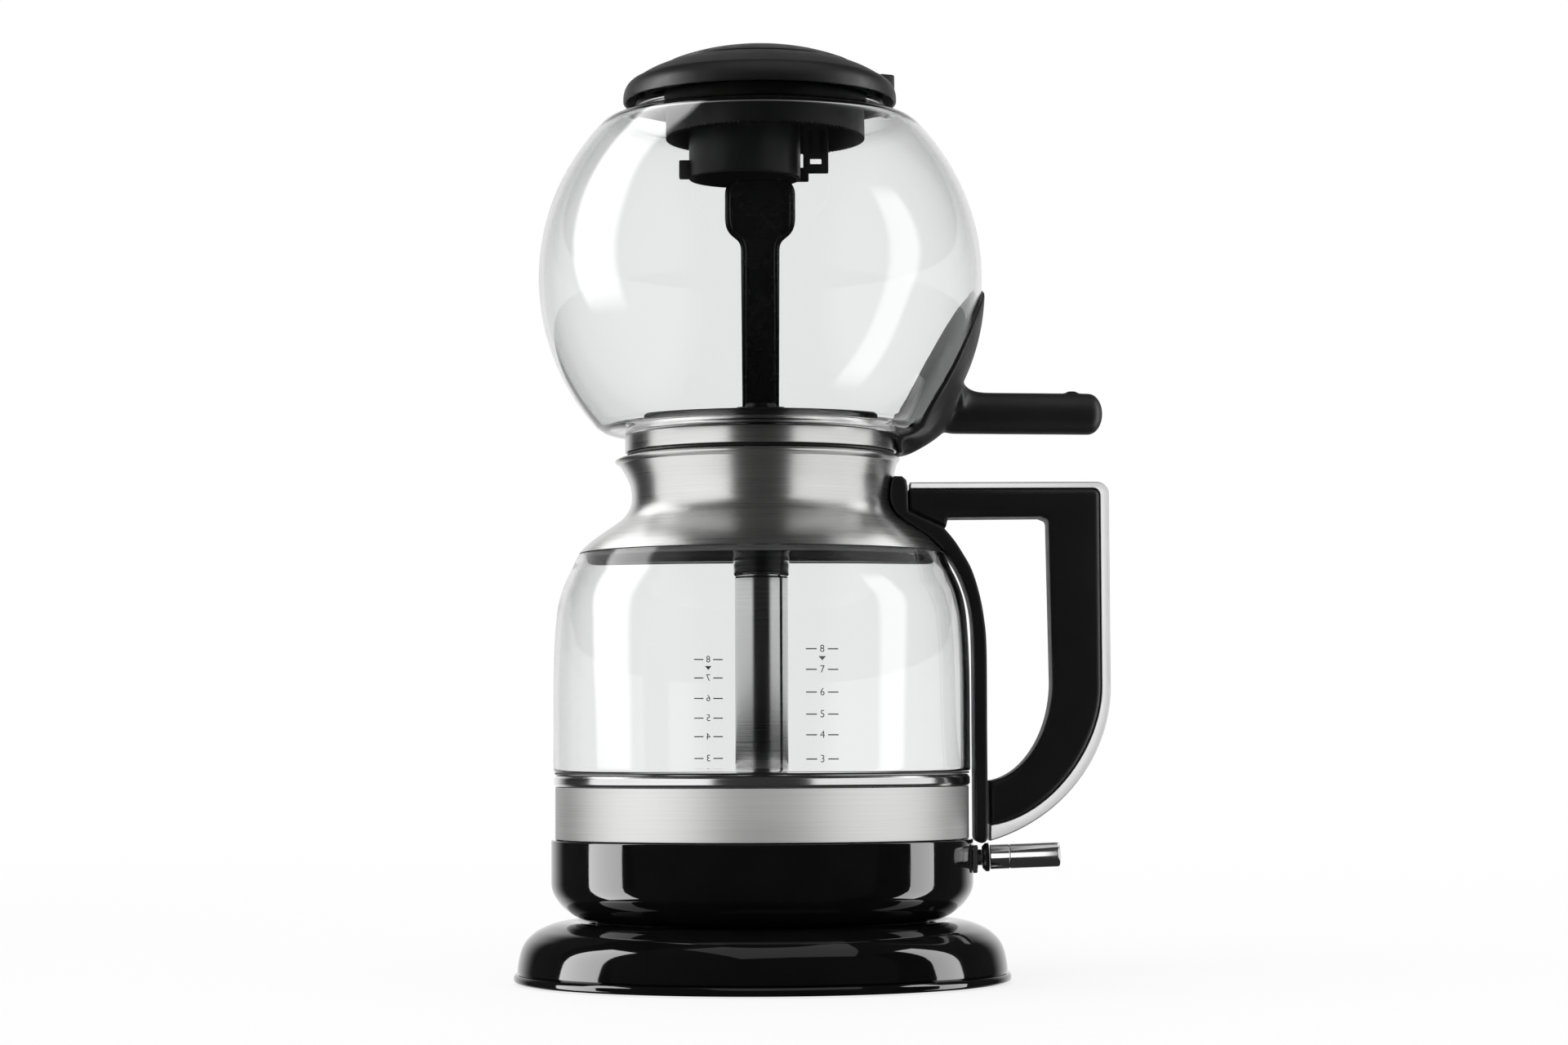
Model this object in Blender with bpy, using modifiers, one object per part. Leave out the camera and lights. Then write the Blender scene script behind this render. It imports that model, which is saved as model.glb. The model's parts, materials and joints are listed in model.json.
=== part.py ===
"""Electric siphon coffee maker with a cordless power base.

Lower glass carafe on a heated drum, upper glass globe on a siphon tube, filter with a paddle
handle, domed lid, two handles and a switch lever. +Z is up, the carafe's handle points along +X,
and the origin is on the table under the centre foot. Sizes below are in millimetres.
"""

import math

import bmesh
import bpy
from mathutils import Euler

MM = 0.001
MERGE = 0.00001
GAP = 0.3

# Facets round a turn
ROUND = 24
ROUND_SMALL = 16
ROUND_TINY = 12

# Heights along the common axis
BASE_TOP = 27.0
DISH_FLOOR = 21.4
DRUM_BOTTOM = 26.4
DRUM_TOP = 62.0
BAND_TOP = 85.0
BEVEL_TOP = 90.2
GLASS_BOTTOM = 91.6
SHOULDER = 186.6
NECK_RIM = 229.1
COLLAR_BOTTOM = 230.8
COLLAR_TOP = 238.2
GLOBE_CENTRE = 307.5
GLOBE_RIM = 392.8
LID_APEX = 410.6

# Radii
BASE_R = 108.0
DRUM_R = 91.8
BAND_R = 90.0
CARAFE_R = 90.8
CARAFE_WALL = 2.6
COLLAR_R = 59.5
GLOBE_R = 97.3
GLOBE_WALL = 2.4
LID_R = 60.2
TUBE_R = 11.6

# Cordless coupling
TURRET_R = 14.0
TURRET_TOP = 34.0

# Feet and the screws of the bottom cover
FOOT_HEIGHT = 1.6
FOOT_R = 7.0
FOOT_CIRCLE = 88.0
SCREW_CIRCLE = 60.0
SCREW_AZIMUTHS = (90, 210, 330)

# Carafe handle, in the plane Y = 0
HANDLE_HALF_WIDTH = 12.0
HANDLE_X = 151.6
HANDLE_TOP = 217.0
HANDLE_FOOT = 61.1
STRAP_X = 98.4
STRAP_THICK = 5.5
STRAP_FOOT = 60.2

# Brew unit's handle, turned round the axis from the carafe's
BREW_HANDLE_AZIMUTH = 7.0
GRIP_Z = 249.1
GRIP_R = 9.2
GRIP_END = 152.6
PAD_EDGE = 2.4

# Switch lever
LEVER_PIVOT_X = 86.0
LEVER_Z = 53.4
LEVER_TILT = 2.0
LEVER_R = 5.4
LEVER_END = 129.6

# Filter's paddle
PADDLE_TOP = 351.3
PADDLE_HALF = 15.0
STEM_HALF = 8.0
PADDLE_THICK = 3.2

# Sockets under the lid
LID_COLLAR_X = 2.4
LID_COLLAR_R = 43.9
SOCKET_X = -6.7
SOCKET_R = 24.6
SOCKET_BOTTOM = 351.8

# The neck's outer profile below its rim
NECK_OUTSIDE = [
    (59.7, 226.2), (58.4, 222.0), (56.8, 215.5), (56.6, 209.5), (58.6, 204.2), (62.0, 200.6),
    (68.0, 196.4), (73.5, 192.5), (76.5, 189.9), (79.6, SHOULDER),
]
NECK_CLEARANCE = 0.6

GLOSS_BLACK = ("gloss_black", (0.012, 0.012, 0.013), 0.12, 0.0)
MATTE_BLACK = ("matte_black", (0.022, 0.022, 0.023), 0.45, 0.0)
BRUSHED = ("brushed_steel", (0.62, 0.62, 0.61), 0.30, 1.0)
CHROME = ("chrome", (0.80, 0.80, 0.81), 0.06, 1.0)
STEEL = ("steel", (0.52, 0.52, 0.52), 0.38, 1.0)
BRASS = ("brass", (0.66, 0.49, 0.22), 0.30, 1.0)
RUBBER = ("rubber", (0.02, 0.02, 0.02), 0.80, 0.0)
SILICONE = ("silicone", (0.10, 0.10, 0.10), 0.60, 0.0)
GLASS = ("glass", (0.90, 0.92, 0.92), 0.03, 0.0)
HOUSING = ("housing", (0.25, 0.25, 0.26), 0.55, 0.0)
PADDLE_BLACK = ("paddle_black", (0.016, 0.016, 0.017), 0.28, 0.0)
LID_GREY = ("lid_grey", (0.06, 0.06, 0.062), 0.55, 0.0)


def clear_scene():
    for old in list(bpy.data.objects):
        bpy.data.objects.remove(old, do_unlink=True)


def new_collection(name):
    made = bpy.data.collections.new(name)
    bpy.context.scene.collection.children.link(made)
    return made


def make_material(node, look):
    name, colour, roughness, metallic = look
    material = bpy.data.materials.new(f"{node}_{name}")
    material.use_nodes = True
    shader = material.node_tree.nodes["Principled BSDF"]
    shader.inputs["Base Color"].default_value = (*colour, 1.0)
    shader.inputs["Roughness"].default_value = roughness
    shader.inputs["Metallic"].default_value = metallic
    if name == "glass":
        shader.inputs["Transmission Weight"].default_value = 1.0
    return material


clear_scene()
PARTS = new_collection("siphon_coffee_maker")
CUTTERS = new_collection("cutters")


def make_axis(name, location=(0, 0, 0), rotation=(0, 0, 0), parent=None):
    """An empty on a joint's axis, or on the axis of a group of pieces."""
    empty = bpy.data.objects.new(name, None)
    empty.location = [c * MM for c in location]
    empty.rotation_euler = Euler([math.radians(a) for a in rotation])
    empty.empty_display_size = 0.02
    empty.parent = parent
    PARTS.objects.link(empty)
    return empty


def place(piece, look, parent=None, location=(0, 0, 0), rotation=(0, 0, 0)):
    """Links a piece with its material, or as a cutter where look is None."""
    piece.location = [c * MM for c in location]
    piece.rotation_euler = Euler([math.radians(a) for a in rotation])
    piece.parent = parent
    if look is None:
        CUTTERS.objects.link(piece)
        piece.hide_render = True
        piece.display_type = "WIRE"
    else:
        PARTS.objects.link(piece)
        piece.data.materials.append(make_material(piece.name, look))
    return piece


def turned(name, profile, look, steps=ROUND, **where):
    """A turned piece. The profile, (radius, height) in mm, runs down its outer side. It closes on
    the axis where it starts there, and on itself otherwise."""
    mesh = bpy.data.meshes.new(name)
    points = [(r * MM, 0.0, z * MM) for r, z in profile]
    edges = [(i, i + 1) for i in range(len(points) - 1)]
    if profile[0][0] > 0:
        edges.append((len(points) - 1, 0))
    mesh.from_pydata(points, edges, [])
    piece = place(bpy.data.objects.new(name, mesh), look, **where)
    screw = piece.modifiers.new("turn", "SCREW")
    screw.axis = "Z"
    screw.steps = steps
    screw.render_steps = steps
    screw.use_merge_vertices = True
    screw.merge_threshold = MERGE
    screw.use_smooth_shade = True
    return piece


def ring(name, inner, outer, bottom, top, look, steps=ROUND, **where):
    profile = [(inner, top), (outer, top), (outer, bottom), (inner, bottom)]
    return turned(name, profile, look, steps, **where)


def disc(name, radius, bottom, top, look, steps=ROUND, **where):
    profile = [(0, top), (radius, top), (radius, bottom), (0, bottom)]
    return turned(name, profile, look, steps, **where)


def box(name, low, high, look, bevel=0.0, **where):
    """A box between two corners in mm, with its edges rounded."""
    mesh = bpy.data.meshes.new(name)
    shape = bmesh.new()
    bmesh.ops.create_cube(shape, size=1.0)
    for corner in shape.verts:
        for axis in range(3):
            middle = (low[axis] + high[axis]) / 2
            corner.co[axis] = (middle + corner.co[axis] * (high[axis] - low[axis])) * MM
    shape.to_mesh(mesh)
    shape.free()
    piece = place(bpy.data.objects.new(name, mesh), look, **where)
    if bevel:
        add_bevel(piece, bevel)
    return piece


def add_bevel(piece, width, segments=2):
    bevel = piece.modifiers.new("rounded edges", "BEVEL")
    bevel.width = width * MM
    bevel.segments = segments
    bevel.limit_method = "ANGLE"
    bevel.angle_limit = math.radians(40)


def boolean(piece, tool, operation="DIFFERENCE"):
    modifier = piece.modifiers.new(f"{operation.lower()} {tool.name}", "BOOLEAN")
    modifier.operation = operation
    modifier.solver = "EXACT"
    modifier.object = tool


def smooth_path(points, steps=4):
    """A Catmull-Rom curve through the points, with its ends doubled."""
    padded = [points[0], *points, points[-1]]
    path = []
    for i in range(1, len(padded) - 2):
        a, b, c, d = padded[i - 1 : i + 3]
        for k in range(steps):
            t = k / steps
            path.append(tuple(
                0.5 * (2 * q + (r - p) * t + (2 * p - 5 * q + 4 * r - s) * t * t
                       + (3 * q - p - 3 * r + s) * t ** 3)
                for p, q, r, s in zip(a, b, c, d)
            ))
    path.append(points[-1])
    return path


def bezier(p0, p1, p2, p3, steps=10):
    path = []
    for k in range(steps + 1):
        t = k / steps
        u = 1 - t
        path.append(tuple(
            a * u ** 3 + 3 * b * u * u * t + 3 * c * u * t * t + d * t ** 3
            for a, b, c, d in zip(p0, p1, p2, p3)
        ))
    return path


def arc(centre, radius, start, end, steps=6):
    """Points on a circle, from one angle in degrees to another."""
    path = []
    for k in range(steps + 1):
        angle = math.radians(start + (end - start) * k / steps)
        path.append((centre[0] + radius * math.cos(angle), centre[1] + radius * math.sin(angle)))
    return path


def plate(name, outline, half_width, look, bevel=0.0, **where):
    """A flat outline in the XZ plane, given a thickness along Y."""
    curve = bpy.data.curves.new(name, "CURVE")
    curve.dimensions = "2D"
    curve.fill_mode = "BOTH"
    curve.extrude = half_width * MM
    spline = curve.splines.new("POLY")
    spline.points.add(len(outline) - 1)
    for point, (x, z) in zip(spline.points, outline):
        point.co = (x * MM, z * MM, 0, 1)
    spline.use_cyclic_u = True
    flat = bpy.data.objects.new(name + "_outline", curve)
    PARTS.objects.link(flat)
    mesh = mesh_of(flat, name)
    for vertex in mesh.vertices:
        x, z, y = vertex.co
        vertex.co = (x, -y, z)
    piece = place(bpy.data.objects.new(name, mesh), look, **where)
    if bevel:
        add_bevel(piece, bevel)
    return piece


def mesh_of(curve_object, name):
    """The evaluated curve as a mesh with its caps welded. The curve is removed."""
    bpy.context.view_layer.update()
    depsgraph = bpy.context.evaluated_depsgraph_get()
    mesh = bpy.data.meshes.new_from_object(curve_object.evaluated_get(depsgraph))
    mesh.name = name
    shape = bmesh.new()
    shape.from_mesh(mesh)
    bmesh.ops.remove_doubles(shape, verts=shape.verts, dist=MERGE)
    shape.to_mesh(mesh)
    shape.free()
    bpy.data.objects.remove(curve_object, do_unlink=True)
    return mesh


def tube(name, points, radius, look, **where):
    """A round bar along points in mm."""
    curve = bpy.data.curves.new(name, "CURVE")
    curve.dimensions = "3D"
    curve.bevel_depth = radius * MM
    curve.bevel_resolution = 2
    curve.use_fill_caps = True
    spline = curve.splines.new("POLY")
    spline.points.add(len(points) - 1)
    for point, co in zip(spline.points, points):
        point.co = (co[0] * MM, co[1] * MM, co[2] * MM, 1)
    return place(bpy.data.objects.new(name, curve), look, **where)


def sphere_profile(radius, z_from, z_to, steps):
    """Heights down a sphere round the globe's centre, and the radius at each."""
    start = math.acos((z_from - GLOBE_CENTRE) / radius)
    end = math.acos((z_to - GLOBE_CENTRE) / radius)
    path = []
    for k in range(steps + 1):
        angle = start + (end - start) * k / steps
        path.append((radius * math.sin(angle), GLOBE_CENTRE + radius * math.cos(angle)))
    return path


# ---- Power base ----

def build_base():
    shell = turned("base_shell", [
        (TURRET_R + 0.4, DISH_FLOOR), (74.5, DISH_FLOOR), (77.2, 24.6), (81.0, BASE_TOP),
        (87.3, 26.6), (94.9, 24.3), (100.0, 21.2), (103.4, 17.6), (105.3, 13.0), (106.4, 4.7),
        (107.6, 4.3), (BASE_R, 3.2), (BASE_R, 1.6), (107.2, 0.8), (104.0, 0.8), (104.0, 8.0),
        (103.2, 12.4), (101.4, 16.6), (98.6, 19.6), (94.0, 22.3), (87.0, 24.6), (81.5, 24.9),
        (78.8, 23.0), (75.6, 19.2), (TURRET_R + 0.4, 19.2),
    ], GLOSS_BLACK)
    cover = disc("base_bottom_cover", 103.5, 1.9, 3.7, MATTE_BLACK)
    for number, azimuth in enumerate(SCREW_AZIMUTHS, 1):
        angle = math.radians(azimuth)
        spot = (SCREW_CIRCLE * math.cos(angle), SCREW_CIRCLE * math.sin(angle), 0)
        boss = ring(f"boss_{number}", 1.9, 4.2, 4.0, 20.2, None, ROUND_TINY, location=spot)
        boolean(shell, boss, "UNION")
        hole = disc(f"cover_hole_{number}", 2.2, 0.0, 6.0, None, ROUND_TINY, location=spot)
        boolean(cover, hole)
        turned(f"base_screw_{number}", [
            (0, 15.0), (1.5, 15.0), (1.5, 1.6), (3.6, 1.6), (3.2, 0.9), (0, 0.9),
        ], STEEL, ROUND_TINY, location=spot)
    disc("foot_centre", 8.0, 0.0, FOOT_HEIGHT, RUBBER, ROUND_SMALL)
    for number in range(4):
        angle = math.radians(45 + 90 * number)
        spot = (FOOT_CIRCLE * math.cos(angle), FOOT_CIRCLE * math.sin(angle), 0)
        disc(f"foot_{number + 1}", FOOT_R, 0.0, FOOT_HEIGHT, RUBBER, ROUND_SMALL, location=spot)
    turned("base_connector", [
        (3.0, TURRET_TOP), (TURRET_R - 1, TURRET_TOP), (TURRET_R, 33.0), (TURRET_R, 18.9),
        (20.0, 18.9), (20.0, 12.0), (3.0, 12.0),
    ], MATTE_BLACK, ROUND_SMALL)
    disc("connector_pin", 2.5, 12.5, 33.0, BRASS, ROUND_TINY)
    ring("contact_ring", TURRET_R + GAP, TURRET_R + 1.4, 24.0, 28.0, BRASS, ROUND_SMALL)
    gland_place = {"location": (0, 0, 12.0), "rotation": (-90, 0, 0)}
    gland_hole = disc("gland_hole", 6.0, 95.0, 112.0, None, ROUND_SMALL, **gland_place)
    boolean(shell, gland_hole)
    turned("cord_gland", [
        (3.6, 108.0), (6.2, 108.0), (6.8, 107.4), (6.8, 106.6), (5.6, 106.6), (5.6, 99.0),
        (3.6, 99.0),
    ], RUBBER, ROUND_SMALL, **gland_place)


# ---- Carafe ----

def build_drum(carafe):
    turned("carafe_coupling", [
        (0, 38.0), (19.4, 38.0), (19.4, 22.4), (16.0, 22.4), (16.0, 34.8), (0, 34.8),
    ], MATTE_BLACK, ROUND_SMALL)
    turned("drum_plinth", [
        (20.2, 30.5), (65.0, 30.5), (65.0, 26.0), (72.5, 26.0), (72.5, 23.2), (71.3, 22.0),
        (20.2, 22.0),
    ], MATTE_BLACK, parent=carafe)
    shell = turned("drum_shell", [
        (DRUM_R - 1.8, DRUM_TOP), (DRUM_R, DRUM_TOP), (DRUM_R, 42.0), (89.4, 36.7), (85.2, 32.0),
        (79.0, 28.0), (73.0, DRUM_BOTTOM), (65.5, DRUM_BOTTOM), (65.5, 28.2), (72.6, 28.2),
        (78.2, 29.8), (83.9, 33.5), (87.7, 37.8), (DRUM_R - 1.8, 42.5),
    ], GLOSS_BLACK, parent=carafe)
    band = ring("trim_band", BAND_R - 1.8, BAND_R, DRUM_TOP + 0.4, BAND_TOP, BRUSHED,
                parent=carafe)
    turned("bevel_ring", [
        (88.2, BEVEL_TOP), (90.2, BEVEL_TOP), (90.6, 88.0), (BAND_R, 85.3), (84.0, 85.3),
        (84.0, 86.8), (88.2, 86.8),
    ], CHROME, parent=carafe)
    disc("heater_plate", 87.9, 87.1, 88.6, STEEL, parent=carafe)
    ring("lower_seal", 86.5, 90.4, 90.5, 91.3, SILICONE, parent=carafe)
    coil = [(x, y, 81.5) for x, y in arc((0, 0), 55.0, 30, 330, 20)]
    tube("heating_element", coil, 3.5, STEEL, parent=carafe)
    disc("thermostat", 10.0, 76.0, 86.6, BRASS, ROUND_SMALL, parent=carafe)
    box("control_module", (40, -14, 40), (72, 14, 60), HOUSING, 2.0, parent=carafe)
    return shell, band


def build_carafe_top(carafe):
    turned("carafe_glass", [
        (77.4, 186.2), (79.7, 186.2), (83.4, 178.6), (86.5, 172.0), (88.3, 166.2), (89.6, 158.5),
        (90.5, 145.0), (CARAFE_R, 125.0), (CARAFE_R, GLASS_BOTTOM),
        (CARAFE_R - CARAFE_WALL, GLASS_BOTTOM), (CARAFE_R - CARAFE_WALL, 125.0), (87.9, 145.0),
        (87.0, 158.0), (85.8, 165.2), (84.1, 170.8), (81.2, 177.2), (77.6, 184.6),
    ], GLASS, parent=carafe)
    ring("upper_seal", 73.6, 76.9, 183.6, 186.2, SILICONE, parent=carafe)
    neck = turned("carafe_neck", [
        (58.6, NECK_RIM), (60.2, 228.9), (60.8, 227.8), *NECK_OUTSIDE, (78.2, SHOULDER),
        (75.4, 189.2), (72.6, 191.6),
        (67.2, 195.4), (61.0, 199.6), (57.5, 203.6), (55.4, 209.2), (55.6, 215.7),
        (57.2, 222.3), (58.4, 226.6),
    ], BRUSHED, parent=carafe)
    pull_spout(neck)
    return neck


def pull_spout(neck):
    """The rim's small pouring lip, drawn out on the side away from the handle."""
    bpy.context.view_layer.update()
    depsgraph = bpy.context.evaluated_depsgraph_get()
    mesh = bpy.data.meshes.new_from_object(neck.evaluated_get(depsgraph))
    start = 213.0
    reach = 3.6
    spread = math.radians(17)
    droop = 0.4
    for vertex in mesh.vertices:
        rise = max(0.0, (vertex.co.z / MM - start) / (NECK_RIM - start))
        away = math.pi - abs(math.atan2(vertex.co.y, vertex.co.x))
        pull = reach * MM * rise ** 2 * math.exp(-((away / spread) ** 2) / 2)
        vertex.co.x -= pull
        vertex.co.z -= pull * droop * rise
    neck.modifiers.clear()
    neck.data = mesh


def build_handle(carafe, neck_clearance):
    strap_outer = smooth_path([
        (79.8, 197.4), (87.7, 187.3), (92.2, 178.9), (95.3, 169.0), (97.4, 157.7),
        (STRAP_X, 146.4),
    ], 2)
    strap_inner = smooth_path([
        (STRAP_X - STRAP_THICK, 150.2), (91.6, 163.0), (88.5, 173.0), (84.6, 181.2),
        (78.2, 188.9), (68.3, 197.0), (60.7, 202.3), (54.0, 204.8),
    ], 2)
    foot = arc((STRAP_X - STRAP_THICK / 2, STRAP_FOOT + STRAP_THICK / 2), STRAP_THICK / 2, 0, -180)
    strap_outline = [(52.0, 219.6), (62.6, 219.3), (64.9, 217.6), (65.2, 203.8),
                     *strap_outer, *foot, *strap_inner, (52.0, 206.0)]
    strap = plate("handle_strap", strap_outline, HANDLE_HALF_WIDTH + 1, MATTE_BLACK, parent=carafe)
    boolean(strap, neck_clearance)

    inner_bow = bezier((126.2, 130.0), (126.0, 108.0), (114.0, 89.0), (STRAP_X + 0.4, 87.1))
    middle_bow = bezier((147.5, 128.0), (147.5, 103.0), (126.0, 72.0), (STRAP_X + 0.4, 68.2))
    outer_bow = bezier((HANDLE_X, 128.0), (HANDLE_X, 98.0), (130.0, 70.0),
                       (STRAP_X + 0.4, HANDLE_FOOT))
    grip_outline = [(65.7, 214.0), *arc((144.5, 210.4), 3.0, 90, 0, 3), *middle_bow,
                    *reversed(inner_bow), (124.9, 197.9), (121.8, 201.9), (81.5, 201.7),
                    (80.4, 197.8), (65.9, 204.3)]
    grip = plate("handle_grip", grip_outline, HANDLE_HALF_WIDTH, MATTE_BLACK, 1.2, parent=carafe)

    inside = [(x + GAP, z - GAP) for x, z in middle_bow]
    trim_outline = [(65.7, HANDLE_TOP), *arc((HANDLE_X - 5, HANDLE_TOP - 5.2), 5.0, 90, 0, 5),
                    *outer_bow, *reversed(inside), *arc((144.6, 210.7), 3.2, 0, 90, 3),
                    (65.7, 214.3)]
    plate("handle_trim", trim_outline, HANDLE_HALF_WIDTH - 2, BRUSHED, parent=carafe)
    return strap, grip


def build_handle_screws(carafe, neck, band, strap, grip):
    """Screws from inside the neck and the band into the handle."""
    lower = {"location": (0, 0, 74.0), "rotation": (0, 90, 0)}
    upper = {"location": (0, 0, 212.0), "rotation": (0, 90, 0)}
    lower_hole = disc("lower_screw_hole", 2.0, 80.0, 110.3, None, ROUND_TINY, **lower)
    upper_hole = disc("upper_screw_hole", 2.0, 45.0, 80.3, None, ROUND_TINY, **upper)
    for piece in (band, strap, grip):
        boolean(piece, lower_hole)
    for piece in (neck, strap, grip):
        boolean(piece, upper_hole)
    turned("handle_screw_lower", [
        (0, 110.0), (1.6, 110.0), (1.6, 87.2), (3.6, 87.2), (3.6, 85.0), (0, 85.0),
    ], STEEL, ROUND_TINY, parent=carafe, **lower)
    turned("handle_screw_upper", [
        (0, 80.0), (1.6, 80.0), (1.6, 54.9), (3.2, 54.9), (3.2, 53.4), (0, 53.4),
    ], STEEL, ROUND_TINY, parent=carafe, **upper)


# ---- Switch lever ----

def build_lever(carafe, shell):
    along = {"location": (0, 0, LEVER_Z), "rotation": (0, 90, 0)}
    slot = disc("lever_slot", 5.7, 85.0, 97.0, None, ROUND_SMALL, **along)
    boolean(shell, slot)
    escutcheon = ring("lever_escutcheon", DRUM_R + GAP, DRUM_R + 2.2, 47.4, 59.4, CHROME, 72,
                      parent=carafe)
    window = box("escutcheon_outline", (80, -14, 40), (110, 14, 70), None)
    boolean(escutcheon, window, "INTERSECT")
    boolean(escutcheon, slot)

    bracket = box("lever_bracket", (80, -8, 44), (88.6, 8, 59.6), STEEL, parent=carafe)
    boolean(bracket, box("bracket_slot", (75, -5, 46), (95, 5, 65), None))
    across = {"location": (LEVER_PIVOT_X, 0, LEVER_Z), "rotation": (90, 0, 0)}
    boolean(bracket, disc("pin_hole", 1.55, -12.0, 12.0, None, ROUND_TINY, **across))
    disc("lever_pin", 1.2, -7.5, 7.5, STEEL, ROUND_TINY, parent=carafe, **across)

    pivot = make_axis("lever_pivot", (LEVER_PIVOT_X, 0, LEVER_Z), (0, 90 - LEVER_TILT, 0))
    bore = disc("lever_bore", 1.55, -8.0, 8.0, None, ROUND_TINY, **across)
    arm = disc("lever_arm", 3.5, -6.5, 9.5, STEEL, ROUND_SMALL, parent=pivot)
    boolean(arm, bore)
    turned("lever_collar", [
        (0, 12.8), (6.2, 12.8), (6.2, 11.3), (4.7, 9.8), (0, 9.8),
    ], MATTE_BLACK, ROUND_SMALL, parent=pivot)
    end = LEVER_END - LEVER_PIVOT_X
    turned("lever_rod", [
        (0, end), (LEVER_R - 0.8, end), (LEVER_R, end - 0.8), (LEVER_R, 22.0),
        (LEVER_R - 0.4, 21.6), (LEVER_R, 21.2), (LEVER_R, 13.5), (LEVER_R - 0.4, 13.1), (0, 13.1),
    ], CHROME, ROUND_SMALL, parent=pivot)


# ---- Brew unit ----

def build_brew_unit(brew):
    turned("upper_glass", [
        (52.5, GLOBE_RIM), (54.7, 392.3), (54.7, 386.5), (55.5, 383.2), (57.4, 380.8),
        (61.5, 379.2), (66.0, 377.8), *sphere_profile(GLOBE_R, 376.0, 241.5, 11),
        (67.0, 239.5), (60.4, 238.9), (58.7, 238.8), (58.0, 238.2), (58.0, 232.7),
        (58.0 - GLOBE_WALL, 232.7), (58.0 - GLOBE_WALL, 238.2), (59.0, 240.9), (66.0, 241.7),
        *reversed(sphere_profile(GLOBE_R - GLOBE_WALL, 373.6, 243.4, 11)),
        (64.6, 375.6), (60.6, 376.8), (56.2, 378.4), (53.6, 381.4), (52.3, 386.0), (51.9, 392.2),
    ], GLASS, parent=brew)
    ring("brew_gasket", 55.6, 59.0, 229.5, 230.5, SILICONE, parent=brew)
    turned("brew_collar", [
        (58.4, COLLAR_TOP), (COLLAR_R, COLLAR_TOP), (COLLAR_R, COLLAR_BOTTOM),
        (50.0, COLLAR_BOTTOM), (50.0, 232.2), (58.4, 232.2),
    ], BRUSHED, parent=brew)
    ring("brew_floor", 12.2, 55.2, 232.5, 235.5, MATTE_BLACK, parent=brew)
    turned("brew_seal", [
        (49.0, 230.5), (54.6, 230.5), (54.6, 228.6), (52.0, 227.0), (54.4, 224.4), (51.8, 222.0),
        (53.8, 219.4), (49.0, 219.4),
    ], SILICONE, parent=brew)
    nut = ring("tube_nut", 11.1, 17.0, 235.8, 239.0, STEEL, ROUND_SMALL, parent=brew)
    boolean(nut, disc("hexagon", 17.5, 230.0, 245.0, None, 6), "INTERSECT")
    turned("siphon_tube", [
        (9.6, 240.0), (10.6, 240.0), (10.6, 176.8), (TUBE_R, 176.8), (TUBE_R, 91.5), (10.6, 89.5),
        (9.6, 89.5),
    ], BRUSHED, ROUND_SMALL, parent=brew)
    turned("tube_sleeve", [
        (11.1, 232.2), (13.0, 232.2), (13.0, 190.0), (12.0, 177.2), (11.1, 177.2),
    ], BRUSHED, ROUND_SMALL, parent=brew)


def pad_section(t):
    """Inner point, outer point and half azimuth of the handle's pad, from its foot (t = 0) up to
    its tip (t = 1)."""
    inside = smooth_path([(60.1, 230.0), (60.3, 236.2), (61.6, 237.8), (66.5, 238.3),
                          (72.0, 240.8)], 3)
    inside += list(reversed(sphere_profile(GLOBE_R + 0.8, 302.0, 244.4, 14)))
    outside = smooth_path([(61.8, 229.6), (66.0, 230.7), (71.6, 233.6), (78.0, 237.8)], 4)
    outside += [(84.6, 243.0), (85.4, 250.0), (87.0, 257.0)]
    outside += list(reversed(sphere_profile(GLOBE_R + 3.3, 303.0, 263.0, 10)))
    widths = smooth_path([(0.0, 16.0), (0.15, 24.0), (0.35, 30.0), (0.5, 29.5), (0.75, 25.0),
                          (0.92, 16.0), (1.0, 6.0)], 4)
    return sample(inside, t), sample(outside, t), interpolate(widths, t)


def sample(path, t):
    """The point at a share t of the path's length."""
    lengths = [math.dist(a, b) for a, b in zip(path, path[1:])]
    left = t * sum(lengths)
    for (a, b), length in zip(zip(path, path[1:]), lengths):
        if left <= length:
            share = left / length
            return tuple(p + (q - p) * share for p, q in zip(a, b))
        left -= length
    return path[-1]


def interpolate(table, t):
    for (t0, v0), (t1, v1) in zip(table, table[1:]):
        if t <= t1:
            return v0 + (v1 - v0) * (t - t0) / (t1 - t0)
    return table[-1][1]


def build_handle_pad(parent, rows=13, columns=8):
    """A spoon-shaped pad that follows the globe: two curved skins and the rim between them."""
    shape = bmesh.new()
    grid = {}
    for i in range(rows + 1):
        (ri, zi), (ro, zo), half = pad_section(i / rows)
        for j in range(columns + 1):
            across = 2 * j / columns - 1
            azimuth = math.radians(half * across)
            full = (1 - across * across) ** 1.5
            edge = PAD_EDGE / max(PAD_EDGE, math.dist((ri, zi), (ro, zo)))
            depth = edge + (1 - edge) * full
            for side, share in (("in", 0.0), ("out", depth)):
                r = ri + (ro - ri) * share
                z = zi + (zo - zi) * share
                co = (r * math.cos(azimuth) * MM, r * math.sin(azimuth) * MM, z * MM)
                grid[side, i, j] = shape.verts.new(co)
    for i in range(rows):
        for j in range(columns):
            for side in ("in", "out"):
                shape.faces.new([grid[side, i, j], grid[side, i, j + 1],
                                 grid[side, i + 1, j + 1], grid[side, i + 1, j]])
    for i in range(rows):
        for j in (0, columns):
            shape.faces.new([grid["in", i, j], grid["in", i + 1, j],
                             grid["out", i + 1, j], grid["out", i, j]])
    for j in range(columns):
        for i in (0, rows):
            shape.faces.new([grid["in", i, j], grid["in", i, j + 1],
                             grid["out", i, j + 1], grid["out", i, j]])
    bmesh.ops.recalc_face_normals(shape, faces=shape.faces)
    mesh = bpy.data.meshes.new("brew_handle_pad")
    shape.to_mesh(mesh)
    shape.free()
    return place(bpy.data.objects.new("brew_handle_pad", mesh), MATTE_BLACK, parent=parent)


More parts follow.
